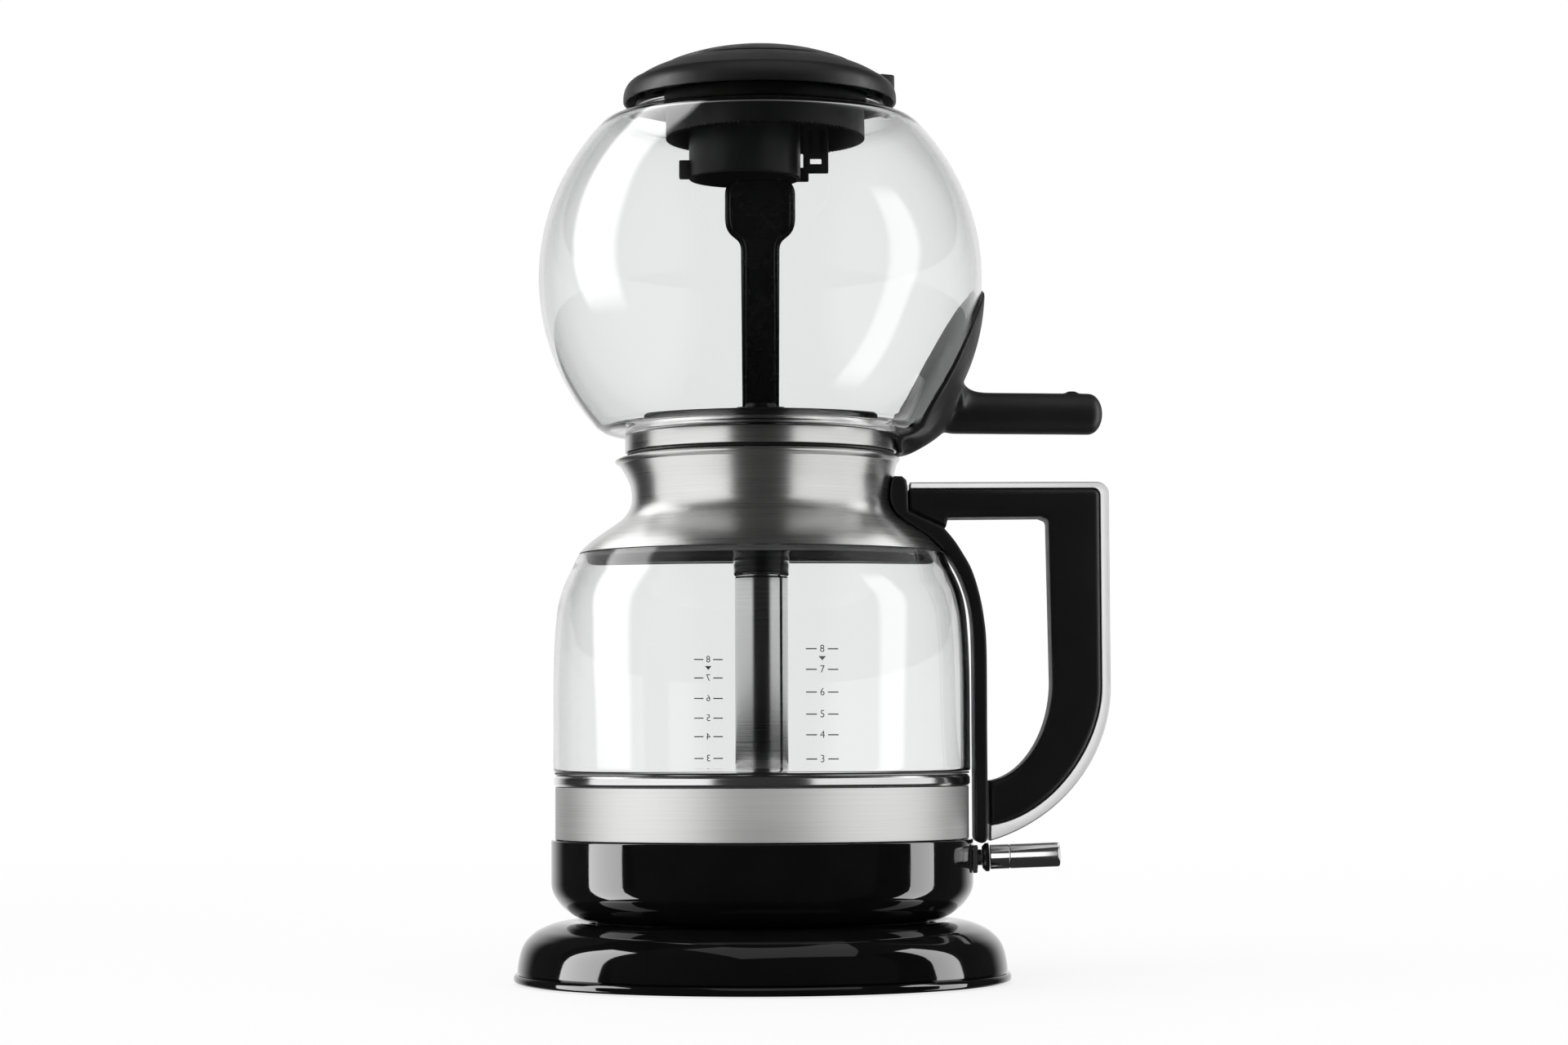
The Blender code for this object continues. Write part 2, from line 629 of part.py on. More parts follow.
def build_brew_handle(brew):
    side = make_axis("brew_handle_side", rotation=(0, 0, BREW_HANDLE_AZIMUTH), parent=brew)
    pad = build_handle_pad(side)
    along = {"location": (0, 0, GRIP_Z), "rotation": (0, 90, 0)}
    tip = GRIP_END - GRIP_R * 0.7
    grip_profile = [(0, GRIP_END), *[(GRIP_R * math.sin(a), tip + GRIP_R * 0.7 * math.cos(a))
                    for a in (math.radians(d) for d in (22, 45, 67, 90))],
                    (GRIP_R, 90.6), (GRIP_R, 86.6), (0, 86.6)]
    grip = turned("brew_handle_grip", grip_profile, MATTE_BLACK, ROUND_SMALL, parent=side, **along)
    socket = disc("grip_socket", GRIP_R + GAP, 86.2, 120.0, None, ROUND_SMALL, parent=side,
                  **along)
    boolean(pad, socket)
    screw_hole = disc("grip_screw_hole", 2.0, 70.0, 100.3, None, ROUND_TINY, parent=side, **along)
    boolean(pad, screw_hole)
    boolean(grip, screw_hole)
    turned("brew_handle_screw", [(0, 100.0), (1.6, 100.0), (1.6, 79.8), (0, 79.8)],
           STEEL, ROUND_TINY, parent=side, **along)


# ---- Filter ----

def build_filter(filter_axis):
    frame = turned("filter_frame", [
        (11.3, 246.0), (49.8, 246.0), (51.0, 244.8), (51.0, 239.4), (48.6, 239.4),
        (48.6, 243.6), (11.3, 243.6),
    ], MATTE_BLACK, parent=filter_axis)
    for number in range(6):
        angle = math.radians(60 * number + 30)
        spot = (31.0 * math.cos(angle), 31.0 * math.sin(angle), 0)
        boolean(frame, disc(f"window_{number}", 11.0, 236.0, 250.0, None, ROUND_TINY,
                            location=spot))
    ring("filter_mesh", 11.3, 48.2, 241.6, 242.6, STEEL, parent=filter_axis)
    turned("filter_hub", [
        (0, 249.8), (9.6, 249.8), (11.2, 248.8), (11.2, 246.4), (10.7, 246.2), (10.7, 241.0),
        (0, 241.0),
    ], MATTE_BLACK, ROUND_SMALL, parent=filter_axis)
    right = [(STEM_HALF, 250.1), (STEM_HALF, 318.0),
             *bezier((STEM_HALF, 322.0), (STEM_HALF, 328.0), (PADDLE_HALF, 326.0),
                     (PADDLE_HALF, 334.0), 6),
             *arc((PADDLE_HALF - 6, PADDLE_TOP - 6), 6.0, 0, 90, 4)]
    outline = [(-x, z) for x, z in right] + list(reversed(right))
    plate("filter_handle", outline, PADDLE_THICK / 2, PADDLE_BLACK, parent=filter_axis)


# ---- Lid ----

def build_lid(lid):
    turned("lid_cap", [
        (0, LID_APEX), (12.0, 409.8), (24.0, 407.9), (33.0, 405.5), (40.0, 402.9), (40.8, 402.2),
        (40.8, 400.6), (38.6, 400.6), (32.0, 403.2), (23.0, 405.6), (0, 408.4),
    ], MATTE_BLACK, parent=lid)
    turned("lid_ring", [
        (41.2, 402.2), (48.4, 399.1), (52.8, 396.7), (55.6, 394.8), (41.2, 394.8),
    ], LID_GREY, parent=lid)
    brim = turned("lid_brim", [
        (0, 394.6), (56.0, 394.6), (57.6, 393.5), (58.8, 392.2), (59.8, 390.4), (LID_R, 387.5),
        (LID_R, 386.0), (59.7, 385.3), (59.1, 385.3), (58.6, 387.0), (57.6, 389.8),
        (56.6, 391.8), (55.4, 393.2), (0, 393.2),
    ], MATTE_BLACK, parent=lid)
    tab = box("tab_block", (57.0, -8.0, 391.0), (64.2, 8.0, 402.4), None, rotation=(0, 0, 27))
    boolean(brim, tab, "UNION")
    turned("lid_gasket", [
        (47.2, 393.0), (50.4, 393.0), (51.2, 391.4), (49.6, 389.6), (51.0, 387.8), (47.2, 387.4),
    ], SILICONE, parent=lid)
    ring("lid_collar", LID_COLLAR_R - 2.0, LID_COLLAR_R, 369.0, 393.0, MATTE_BLACK,
         parent=lid, location=(LID_COLLAR_X, 0, 0))
    socket = ring("tube_socket", SOCKET_R - 2.0, SOCKET_R, SOCKET_BOTTOM, 393.0, MATTE_BLACK,
                  parent=lid, location=(SOCKET_X, 0, 0))
    clip = box("lid_clip", (19.0, -10.0, 353.5), (30.0, -5.0, 392.9), MATTE_BLACK, parent=lid)
    boolean(clip, box("clip_window", (22.0, -15.0, 357.0), (27.0, 0.0, 360.0), None))
    for number, x in enumerate((21.2, 26.0)):
        boolean(clip, box(f"clip_slot_{number}", (x, -12.0, 362.0), (x + 2.2, -7.5, 372.0), None))
    boolean(socket, box("socket_hook", (-35.6, -4.0, 352.2), (-30.2, 2.0, 360.0), None), "UNION")
    boolean(socket, box("socket_lug", (15.2, 5.0, 352.2), (21.6, 10.0, 358.0), None), "UNION")


def main():
    build_base()
    carafe = make_axis("carafe_axis")
    shell, band = build_drum(carafe)
    neck = build_carafe_top(carafe)
    around_neck = [(r + NECK_CLEARANCE, z) for r, z in NECK_OUTSIDE]
    neck_clearance = turned("neck_clearance", [
        (0, 226.2), *around_neck, (around_neck[-1][0], 180.0), (0, 180.0),
    ], None)
    strap, grip = build_handle(carafe, neck_clearance)
    build_handle_screws(carafe, neck, band, strap, grip)
    build_lever(carafe, shell)
    brew = make_axis("brew_axis")
    build_brew_unit(brew)
    build_brew_handle(brew)
    build_filter(make_axis("filter_axis"))
    build_lid(make_axis("lid_axis"))


main()
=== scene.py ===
import json
import math

import bmesh
import bpy
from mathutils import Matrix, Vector

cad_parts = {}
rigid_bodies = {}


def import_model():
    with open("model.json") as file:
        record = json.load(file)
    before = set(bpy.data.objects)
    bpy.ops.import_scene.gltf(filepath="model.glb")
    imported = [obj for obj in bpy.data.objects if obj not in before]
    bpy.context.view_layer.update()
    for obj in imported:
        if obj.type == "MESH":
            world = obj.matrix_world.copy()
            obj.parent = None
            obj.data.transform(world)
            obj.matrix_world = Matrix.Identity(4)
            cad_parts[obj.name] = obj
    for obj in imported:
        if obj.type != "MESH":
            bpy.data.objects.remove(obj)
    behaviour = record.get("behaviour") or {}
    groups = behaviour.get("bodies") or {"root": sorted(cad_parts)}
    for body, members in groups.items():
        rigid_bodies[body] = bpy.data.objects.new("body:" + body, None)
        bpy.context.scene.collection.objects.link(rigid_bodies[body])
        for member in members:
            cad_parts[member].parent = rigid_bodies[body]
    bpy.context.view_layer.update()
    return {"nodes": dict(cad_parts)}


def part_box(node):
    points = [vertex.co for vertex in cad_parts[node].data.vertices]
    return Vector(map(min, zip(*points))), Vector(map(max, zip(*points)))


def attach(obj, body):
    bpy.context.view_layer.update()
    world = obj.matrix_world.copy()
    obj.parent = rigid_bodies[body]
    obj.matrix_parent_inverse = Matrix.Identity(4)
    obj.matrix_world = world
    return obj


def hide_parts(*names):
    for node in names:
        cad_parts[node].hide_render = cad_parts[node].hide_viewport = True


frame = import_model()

MM = 0.001
RING_STEPS = 160
SMALL_STEPS = 72
FINE_STEPS = 224
SPHERE_STEPS = 56
WELD = 0.000002

bpy.context.scene.view_settings.view_transform = "Standard"


# ---- Camera: level with the drum's top, looking slightly up ----

CAMERA_DISTANCE = 1.6
CAMERA_HEIGHT = 0.101
CAMERA_LENS = 84.0
CAMERA_PITCH = math.atan(278 / 4480)
CAMERA_YAW = math.radians(0.345)
CAMERA_ROLL = math.radians(0.22)


def make_camera():
    camera = bpy.data.objects.new("camera", bpy.data.cameras.new("camera"))
    camera.data.lens = CAMERA_LENS
    camera.data.sensor_width = 36.0
    camera.data.clip_start = 0.05
    camera.location = (0, -CAMERA_DISTANCE, CAMERA_HEIGHT)
    camera.rotation_euler = (math.radians(90) + CAMERA_PITCH, CAMERA_ROLL, -CAMERA_YAW)
    bpy.context.scene.collection.objects.link(camera)
    bpy.context.scene.camera = camera


make_camera()


# ---- Materials ----

class Nodes:
    """A small helper that adds and links shader nodes."""

    def __init__(self, name):
        self.material = bpy.data.materials.new(name)
        self.material.use_nodes = True
        self.tree = self.material.node_tree
        self.shader = self.tree.nodes["Principled BSDF"]

    def set(self, **values):
        for key, value in values.items():
            self.shader.inputs[key.replace("_", " ")].default_value = value
        return self

    def add(self, kind, **settings):
        node = self.tree.nodes.new(kind)
        for key, value in settings.items():
            setattr(node, key, value)
        return node

    def link(self, output, socket):
        self.tree.links.new(output, socket)

    def noise(self, scale, stretch=(1, 1, 1), detail=3.0):
        """Noise with its features about 1/scale metres across."""
        where = self.add("ShaderNodeTexCoord")
        mapping = self.add("ShaderNodeMapping")
        mapping.inputs["Scale"].default_value = stretch
        noise = self.add("ShaderNodeTexNoise")
        noise.inputs["Scale"].default_value = scale
        noise.inputs["Detail"].default_value = detail
        self.link(where.outputs["Object"], mapping.inputs["Vector"])
        self.link(mapping.outputs["Vector"], noise.inputs["Vector"])
        return noise.outputs["Fac"]

    def spread(self, factor, low, high):
        """The factor's middle range mapped to values from low to high."""
        ramp = self.add("ShaderNodeMapRange")
        ramp.inputs["From Min"].default_value = 0.3
        ramp.inputs["From Max"].default_value = 0.7
        ramp.inputs["To Min"].default_value = low
        ramp.inputs["To Max"].default_value = high
        self.link(factor, ramp.inputs["Value"])
        return ramp.outputs["Result"]

    def roughness(self, factor, low, high):
        self.link(self.spread(factor, low, high), self.shader.inputs["Roughness"])

    def colour(self, factor, dark, light):
        mix = self.add("ShaderNodeMix", data_type="RGBA")
        mix.inputs[6].default_value = (*dark, 1)
        mix.inputs[7].default_value = (*light, 1)
        self.link(self.spread(factor, 0.0, 1.0), mix.inputs[0])
        self.link(mix.outputs[2], self.shader.inputs["Base Color"])

    def bump(self, factor, depth):
        """Relief of that depth in metres."""
        bump = self.add("ShaderNodeBump")
        bump.inputs["Strength"].default_value = 1.0
        bump.inputs["Distance"].default_value = depth
        self.link(factor, bump.inputs["Height"])
        self.link(bump.outputs["Normal"], self.shader.inputs["Normal"])


def gloss_black():
    n = Nodes("gloss_black_enamel").set(IOR=1.5)
    n.colour(n.noise(60), (0.0022, 0.0022, 0.0024), (0.0034, 0.0034, 0.0036))
    n.roughness(n.noise(90), 0.035, 0.06)
    n.bump(n.noise(220, detail=1.0), 0.0000015)
    return n.material


def moulded_black(name, dark, light, rough_low, rough_high, grain=5200, depth=0.000012):
    n = Nodes(name).set(IOR=1.48)
    n.colour(n.noise(45), dark, light)
    n.roughness(n.noise(160), rough_low, rough_high)
    n.bump(n.noise(grain, detail=2.0), depth)
    return n.material


def brushed(name, colour, rough, anisotropy, stretch, depth, tangent=True):
    """Steel brushed across the stretched direction. The fine lines run where stretch is small."""
    n = Nodes(name).set(Metallic=1.0, Anisotropic=anisotropy, Anisotropic_Rotation=0.25)
    lines = n.noise(1.0, stretch, detail=4.0)
    n.colour(lines, tuple(0.90 * c for c in colour), tuple(min(1.0, 1.05 * c) for c in colour))
    n.roughness(lines, rough - 0.04, rough + 0.05)
    n.bump(lines, depth)
    if tangent:
        direction = n.add("ShaderNodeTangent", direction_type="RADIAL", axis="Z")
        n.link(direction.outputs["Tangent"], n.shader.inputs["Tangent"])
    return n.material


def polished(name, colour, rough):
    n = Nodes(name).set(Metallic=1.0)
    n.colour(n.noise(70), tuple(0.95 * c for c in colour), colour)
    n.roughness(n.noise(90), rough * 0.9, rough * 1.1)
    n.bump(n.noise(2500, detail=2.0), 0.0000003)
    return n.material


def clear_glass():
    n = Nodes("clear_glass").set(IOR=1.47, Roughness=0.0, Transmission_Weight=1.0,
                                 Base_Color=(0.945, 0.948, 0.948, 1))
    n.bump(n.noise(22, detail=1.0), 0.00006)
    return n.material


def rubber(name, dark, light, rough=0.7):
    n = Nodes(name).set(IOR=1.45)
    n.colour(n.noise(80), dark, light)
    n.roughness(n.noise(400), rough - 0.08, rough + 0.08)
    n.bump(n.noise(3000), 0.00001)
    return n.material


def printed_grey():
    n = Nodes("printed_grey").set(IOR=1.45)
    n.colour(n.noise(1500), (0.19, 0.19, 0.19), (0.26, 0.26, 0.26))
    n.roughness(n.noise(2000), 0.45, 0.6)
    return n.material


def woven_mesh():
    """Fine steel mesh, as crossed waves of wire."""
    n = Nodes("woven_mesh").set(Metallic=1.0, Roughness=0.35)
    where = n.add("ShaderNodeTexCoord")
    waves = []
    for direction in ("X", "Y"):
        wave = n.add("ShaderNodeTexWave", wave_type="BANDS", bands_direction=direction)
        wave.inputs["Scale"].default_value = 420.0
        n.link(where.outputs["Object"], wave.inputs["Vector"])
        waves.append(wave.outputs["Fac"])
    both = n.add("ShaderNodeMath", operation="MULTIPLY")
    n.link(waves[0], both.inputs[0])
    n.link(waves[1], both.inputs[1])
    n.colour(both.outputs["Value"], (0.10, 0.10, 0.10), (0.6, 0.6, 0.6))
    n.bump(both.outputs["Value"], 0.0002)
    return n.material


LOOKS = {
    "gloss_black": gloss_black(),
    "matte_black": moulded_black("satin_black", (0.0085, 0.0085, 0.009), (0.0125, 0.0125, 0.013),
                                 0.40, 0.50),
    "grip_black": moulded_black("soft_grip_black", (0.010, 0.010, 0.0105), (0.014, 0.014, 0.0145),
                                0.46, 0.56, 3800, 0.00002),
    "paddle_black": moulded_black("paddle_black", (0.006, 0.006, 0.0065), (0.009, 0.009, 0.0095),
                                  0.22, 0.30, 4000, 0.000004),
    "lid_grey": moulded_black("lid_grey", (0.048, 0.048, 0.05), (0.06, 0.06, 0.062), 0.50, 0.60),
    "brushed_band": brushed("brushed_band", (0.80, 0.80, 0.795), 0.50, 0.0, (14, 14, 5200),
                            0.000003),
    "brushed_neck": brushed("brushed_neck", (0.70, 0.70, 0.695), 0.30, 0.70, (14, 14, 4200),
                            0.0000009),
    "brushed_trim": brushed("brushed_trim", (0.78, 0.78, 0.78), 0.38, 0.0, (40, 3000, 40),
                            0.000002, tangent=False),
    "tube_steel": brushed("tube_steel", (0.78, 0.78, 0.78), 0.12, 0.6, (9, 9, 2500),
                          0.0000008),
    "satin_bevel": brushed("satin_bevel", (0.74, 0.74, 0.74), 0.18, 0.6, (12, 12, 3000),
                           0.0000008),
    "chrome": polished("chrome", (0.82, 0.82, 0.83), 0.06),
    "satin_chrome": polished("satin_chrome", (0.80, 0.80, 0.80), 0.16),
    "steel": polished("plain_steel", (0.55, 0.55, 0.55), 0.30),
    "brass": polished("contact_brass", (0.66, 0.49, 0.22), 0.22),
    "rubber": rubber("black_rubber", (0.012, 0.012, 0.012), (0.02, 0.02, 0.02)),
    "silicone": rubber("dark_silicone", (0.02, 0.02, 0.02), (0.03, 0.03, 0.03), 0.5),
    "clear_silicone": rubber("clear_silicone", (0.30, 0.30, 0.30), (0.36, 0.36, 0.36), 0.45),
    "housing": moulded_black("housing_grey", (0.20, 0.20, 0.205), (0.26, 0.26, 0.265), 0.5, 0.6),
    "glass": clear_glass(),
    "print": printed_grey(),
    "mesh": woven_mesh(),
}
BRIGHT_LOOKS = {"brushed_trim", "satin_chrome"}
STEEL_LOOKS = {"brushed_band", "brushed_neck", "brushed_trim", "satin_bevel", "tube_steel",
               "satin_chrome"}


# ---- Making pieces ----

def finish_piece(piece, look, slot, body, *nodes):
    """Gives a piece its material, and puts it on its body in place of CAD nodes. The slot is not
    used.
    """
    piece.data.materials.clear()
    piece.data.materials.append(LOOKS[look])
    piece["look"] = look
    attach(piece, body)
    if nodes:
        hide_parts(*nodes)


def new_piece(name, mesh):
    piece = bpy.data.objects.new(name, mesh)
    bpy.context.scene.collection.objects.link(piece)
    return piece


def mesh_from(shape, name):
    """A mesh from a bmesh, which is then freed."""
    mesh = bpy.data.meshes.new(name)
    shape.to_mesh(mesh)
    shape.free()
    return mesh


def applied(piece):
    """The object's mesh with its modifiers applied."""
    bpy.context.view_layer.update()
    depsgraph = bpy.context.evaluated_depsgraph_get()
    return bpy.data.meshes.new_from_object(piece.evaluated_get(depsgraph))


def turn_about_z(vertices, degrees):
    turn = math.radians(degrees)
    for vertex in vertices:
        x, y, z = vertex.co
        vertex.co = (x * math.cos(turn) - y * math.sin(turn),
                     x * math.sin(turn) + y * math.cos(turn), z)


def smooth(mesh, angle=38):
    mesh.shade_smooth()
    mesh.set_sharp_from_angle(angle=math.radians(angle))


def spline(points, steps=6):
    """A Catmull-Rom curve through the points."""
    padded = [points[0], *points, points[-1]]
    path = []
    for i in range(1, len(padded) - 2):
        a, b, c, d = padded[i - 1:i + 3]
        for k in range(steps):
            t = k / steps
            path.append(tuple(
                0.5 * (2 * q + (r - p) * t + (2 * p - 5 * q + 4 * r - s) * t * t
                       + (3 * q - p - 3 * r + s) * t ** 3)
                for p, q, r, s in zip(a, b, c, d)
            ))
    path.append(tuple(points[-1]))
    return path


def bezier(p0, p1, p2, p3, steps=24):
    path = []
    for k in range(steps + 1):
        t = k / steps
        u = 1 - t
        path.append(tuple(
            a * u ** 3 + 3 * b * u * u * t + 3 * c * u * t * t + d * t ** 3
            for a, b, c, d in zip(p0, p1, p2, p3)
        ))
    return path


def arc(centre, radius, start, end, steps=10):
    path = []
    for k in range(steps + 1):
        angle = math.radians(start + (end - start) * k / steps)
        path.append((centre[0] + radius * math.cos(angle), centre[1] + radius * math.sin(angle)))
    return path


def rounded(points, closed):
    """Rounds each corner that has a third value, its radius."""
    steps = 4
    path = []
    count = len(points)
    for i, point in enumerate(points):
        here = Vector(point[:2])
        radius = point[2] if len(point) > 2 else 0.0
        inner = closed or 0 < i < count - 1
        if not radius or not inner:
            path.append(tuple(here))
            continue
        before = Vector(points[i - 1][:2]) - here
        after = Vector(points[(i + 1) % count][:2]) - here
        angle = before.angle(after)
        reach = min(radius / math.tan(angle / 2), 0.48 * before.length, 0.48 * after.length)
        start = here + before.normalized() * reach
        end = here + after.normalized() * reach
        for k in range(steps + 1):
            t = k / steps
            u = 1 - t
            path.append(tuple(start * u * u + here * 2 * u * t + end * t * t))
    return path


def lathe(name, profile, steps=RING_STEPS, centre=(0, 0), serrate=None):
    """A turned piece from a profile of (radius, height) in mm, which runs down its outer side and
    closes on the axis or on itself."""
    closed = profile[0][0] > 0
    path = rounded(profile, closed)
    shape = bmesh.new()
    rings = []
    for r, z in path:
        if r < 1e-6:
            rings.append([shape.verts.new((centre[0] * MM, centre[1] * MM, z * MM))])
            continue
        ring = []
        for k in range(steps):
            angle = 2 * math.pi * k / steps
            lift = serrate(z, angle) if serrate else 0.0
            ring.append(shape.verts.new((
                (centre[0] + r * math.cos(angle)) * MM,
                (centre[1] + r * math.sin(angle)) * MM,
                (z + lift) * MM,
            )))
        rings.append(ring)
    pairs = list(zip(rings, rings[1:]))
    if closed:
        pairs.append((rings[-1], rings[0]))
    for upper, lower in pairs:
        for k in range(steps):
            m = (k + 1) % steps
            corners = [upper[k % len(upper)], upper[m % len(upper)],
                       lower[m % len(lower)], lower[k % len(lower)]]
            unique = list(dict.fromkeys(corners))
            if len(unique) > 2:
                shape.faces.new(unique)
    bmesh.ops.recalc_face_normals(shape, faces=shape.faces)
    mesh = mesh_from(shape, name)
    smooth(mesh)
    return new_piece(name, mesh)


def mesh_of(source, name):
    """The evaluated object as a new mesh. The source is removed."""
    mesh = applied(source)
    mesh.transform(source.matrix_world)
    mesh.name = name
    bpy.data.objects.remove(source, do_unlink=True)
    return mesh


def add_line(curve, points, cyclic):
    """Adds a straight-sided line through points in mm, and links the curve as an object."""
    line = curve.splines.new("POLY")
    line.points.add(len(points) - 1)
    for point, co in zip(line.points, points):
        point.co = (*(c * MM for c in co), 1)
    line.use_cyclic_u = cyclic
    source = bpy.data.objects.new(curve.name + "_line", curve)
    bpy.context.scene.collection.objects.link(source)
    return source


def plate(name, outline, half_width, edge):
    """A flat outline in the XZ plane with a thickness along Y and rounded edges, all in mm."""
    curve = bpy.data.curves.new(name, "CURVE")
    curve.dimensions = "2D"
    curve.fill_mode = "BOTH"
    curve.extrude = (half_width - edge) * MM
    curve.bevel_depth = edge * MM
    curve.bevel_resolution = 4
    curve.offset = -edge * MM
    mesh = mesh_of(add_line(curve, [(x, z, 0) for x, z in outline], True), name)
    for vertex in mesh.vertices:
        x, z, y = vertex.co
        vertex.co = (x, -y, z)
    shape = bmesh.new()
    shape.from_mesh(mesh)
    bmesh.ops.remove_doubles(shape, verts=shape.verts, dist=WELD)
    bmesh.ops.recalc_face_normals(shape, faces=shape.faces)
    shape.to_mesh(mesh)
    shape.free()
    smooth(mesh, 40)
    return new_piece(name, mesh)


def closed_bead(name, points, radius, resolution):
    """A round bead along a closed line of points in mm."""
    curve = bpy.data.curves.new(name, "CURVE")
    curve.dimensions = "3D"
    curve.bevel_depth = radius * MM
    curve.bevel_resolution = resolution
    curve.use_fill_caps = False
    mesh = mesh_of(add_line(curve, points, True), name)
    shape = bmesh.new()
    shape.from_mesh(mesh)
    bmesh.ops.remove_doubles(shape, verts=shape.verts, dist=WELD)
    shape.to_mesh(mesh)
    shape.free()
    smooth(mesh, 45)
    return new_piece(name, mesh)


def rounded_box(name, low, high, radius, segments=3):
    """A box between two corners in mm, with rounded edges."""
    shape = bmesh.new()
    bmesh.ops.create_cube(shape, size=1.0)
    for corner in shape.verts:
        for axis in range(3):
            middle = (low[axis] + high[axis]) / 2
            corner.co[axis] = (middle + corner.co[axis] * (high[axis] - low[axis])) * MM
    bmesh.ops.bevel(shape, geom=shape.edges[:], offset=radius * MM, segments=segments,
                    profile=0.5, affect="EDGES")
    mesh = mesh_from(shape, name)
    smooth(mesh)
    return new_piece(name, mesh)


def cut(piece, tool, operation="DIFFERENCE"):
    """Applies a Boolean with another object, which is then removed."""
    modifier = piece.modifiers.new("boolean", "BOOLEAN")
    modifier.operation = operation
    modifier.solver = "EXACT"
    modifier.object = tool
    mesh = applied(piece)
    piece.modifiers.clear()
    piece.data = mesh
    bpy.data.objects.remove(tool, do_unlink=True)
    smooth(mesh)


def lay_along_x(piece, height, tilt=0.0, pivot=0.0):
    """Turns a piece made along Z so that it lies along X at a height, tilted about a pivot."""
    angle = math.radians(tilt)
    for vertex in piece.data.vertices:
        z, y, x = vertex.co
        reach = x - pivot * MM
        vertex.co = (pivot * MM + reach * math.cos(angle) + z * math.sin(angle), y,
                     reach * math.sin(angle) - z * math.cos(angle) + height * MM)
    return piece


# ---- Power base ----

def build_base():
    dome = spline([(81, 27), (84.4, 26.95), (88, 26.5), (91.6, 25.6), (94.9, 24.3),
                   (97.9, 22.8), (100.4, 20.9), (102.4, 18.9), (103.9, 16.6), (105, 13.8),
                   (105.8, 10.4), (106.3, 7.2), (106.4, 5.3)])
    finish_piece(lathe("base_dome", [
        (14.4, 21.4, 0.5), (73.6, 21.4, 2.5), (76.6, 25.2, 2), *dome, (105.7, 4.9), (106, 4.5),
        (107.3, 4.3, 0.6), (108, 3.3, 0.8), (108, 1.6, 0.8), (107, 0.8, 0.5), (104.2, 0.8, 0.5),
        (104.2, 9), (101, 17), (86, 24.6), (78, 22), (14.4, 19.2),
    ], 192), "gloss_black", "gloss_black", "base", "base_shell")
    finish_piece(lathe("base_underside", [
        (0, 3.7), (103.5, 3.7), (103.5, 1.9, 0.8), (0, 1.9),
    ]), "matte_black", "matte_black", "base", "base_bottom_cover")
    for node in ("foot_centre", "foot_1", "foot_2", "foot_3", "foot_4"):
        low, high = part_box(node)
        middle = (low + high) / 2 / MM
        radius = (high.x - low.x) / 2 / MM
        finish_piece(lathe(f"rubber_{node}", [
            (0, 1.6), (radius, 1.6, 0.3), (radius, 0, 0.5), (0, 0),
        ], SMALL_STEPS, (middle.x, middle.y)), "rubber", "rubber", "base", node)
    finish_piece(lathe("coupling_turret", [
        (3, 34, 0.6), (14, 34, 1.2), (14, 30.2), (13.4, 29.8), (13.4, 29.2), (14, 28.8),
        (14, 18.9), (20, 18.9), (20, 12), (3, 12),
    ], SMALL_STEPS), "matte_black", "matte_black", "base", "base_connector")
    finish_piece(lathe("contact_pin", [
        (0, 33), (2.5, 33, 1), (2.5, 12.5), (0, 12.5),
    ], 32), "brass", "brass", "base", "connector_pin")
    finish_piece(lathe("contact_band", [
        (14.3, 28, 0.2), (15.4, 28, 0.4), (15.4, 24, 0.4), (14.3, 24, 0.2),
    ], SMALL_STEPS), "brass", "brass", "base", "contact_ring")
    gland = lathe("cord_bush", [
        (3.6, 108, 0.5), (6.2, 108, 0.5), (6.8, 107.3), (6.8, 106.6), (5.6, 106.6),
        (5.6, 99), (3.6, 99),
    ], SMALL_STEPS)
    for vertex in gland.data.vertices:
        x, y, z = vertex.co
        vertex.co = (x, z, y + 12 * MM)
    gland.data.flip_normals()
    finish_piece(gland, "rubber", "rubber", "base", "cord_gland")


# ---- Carafe ----

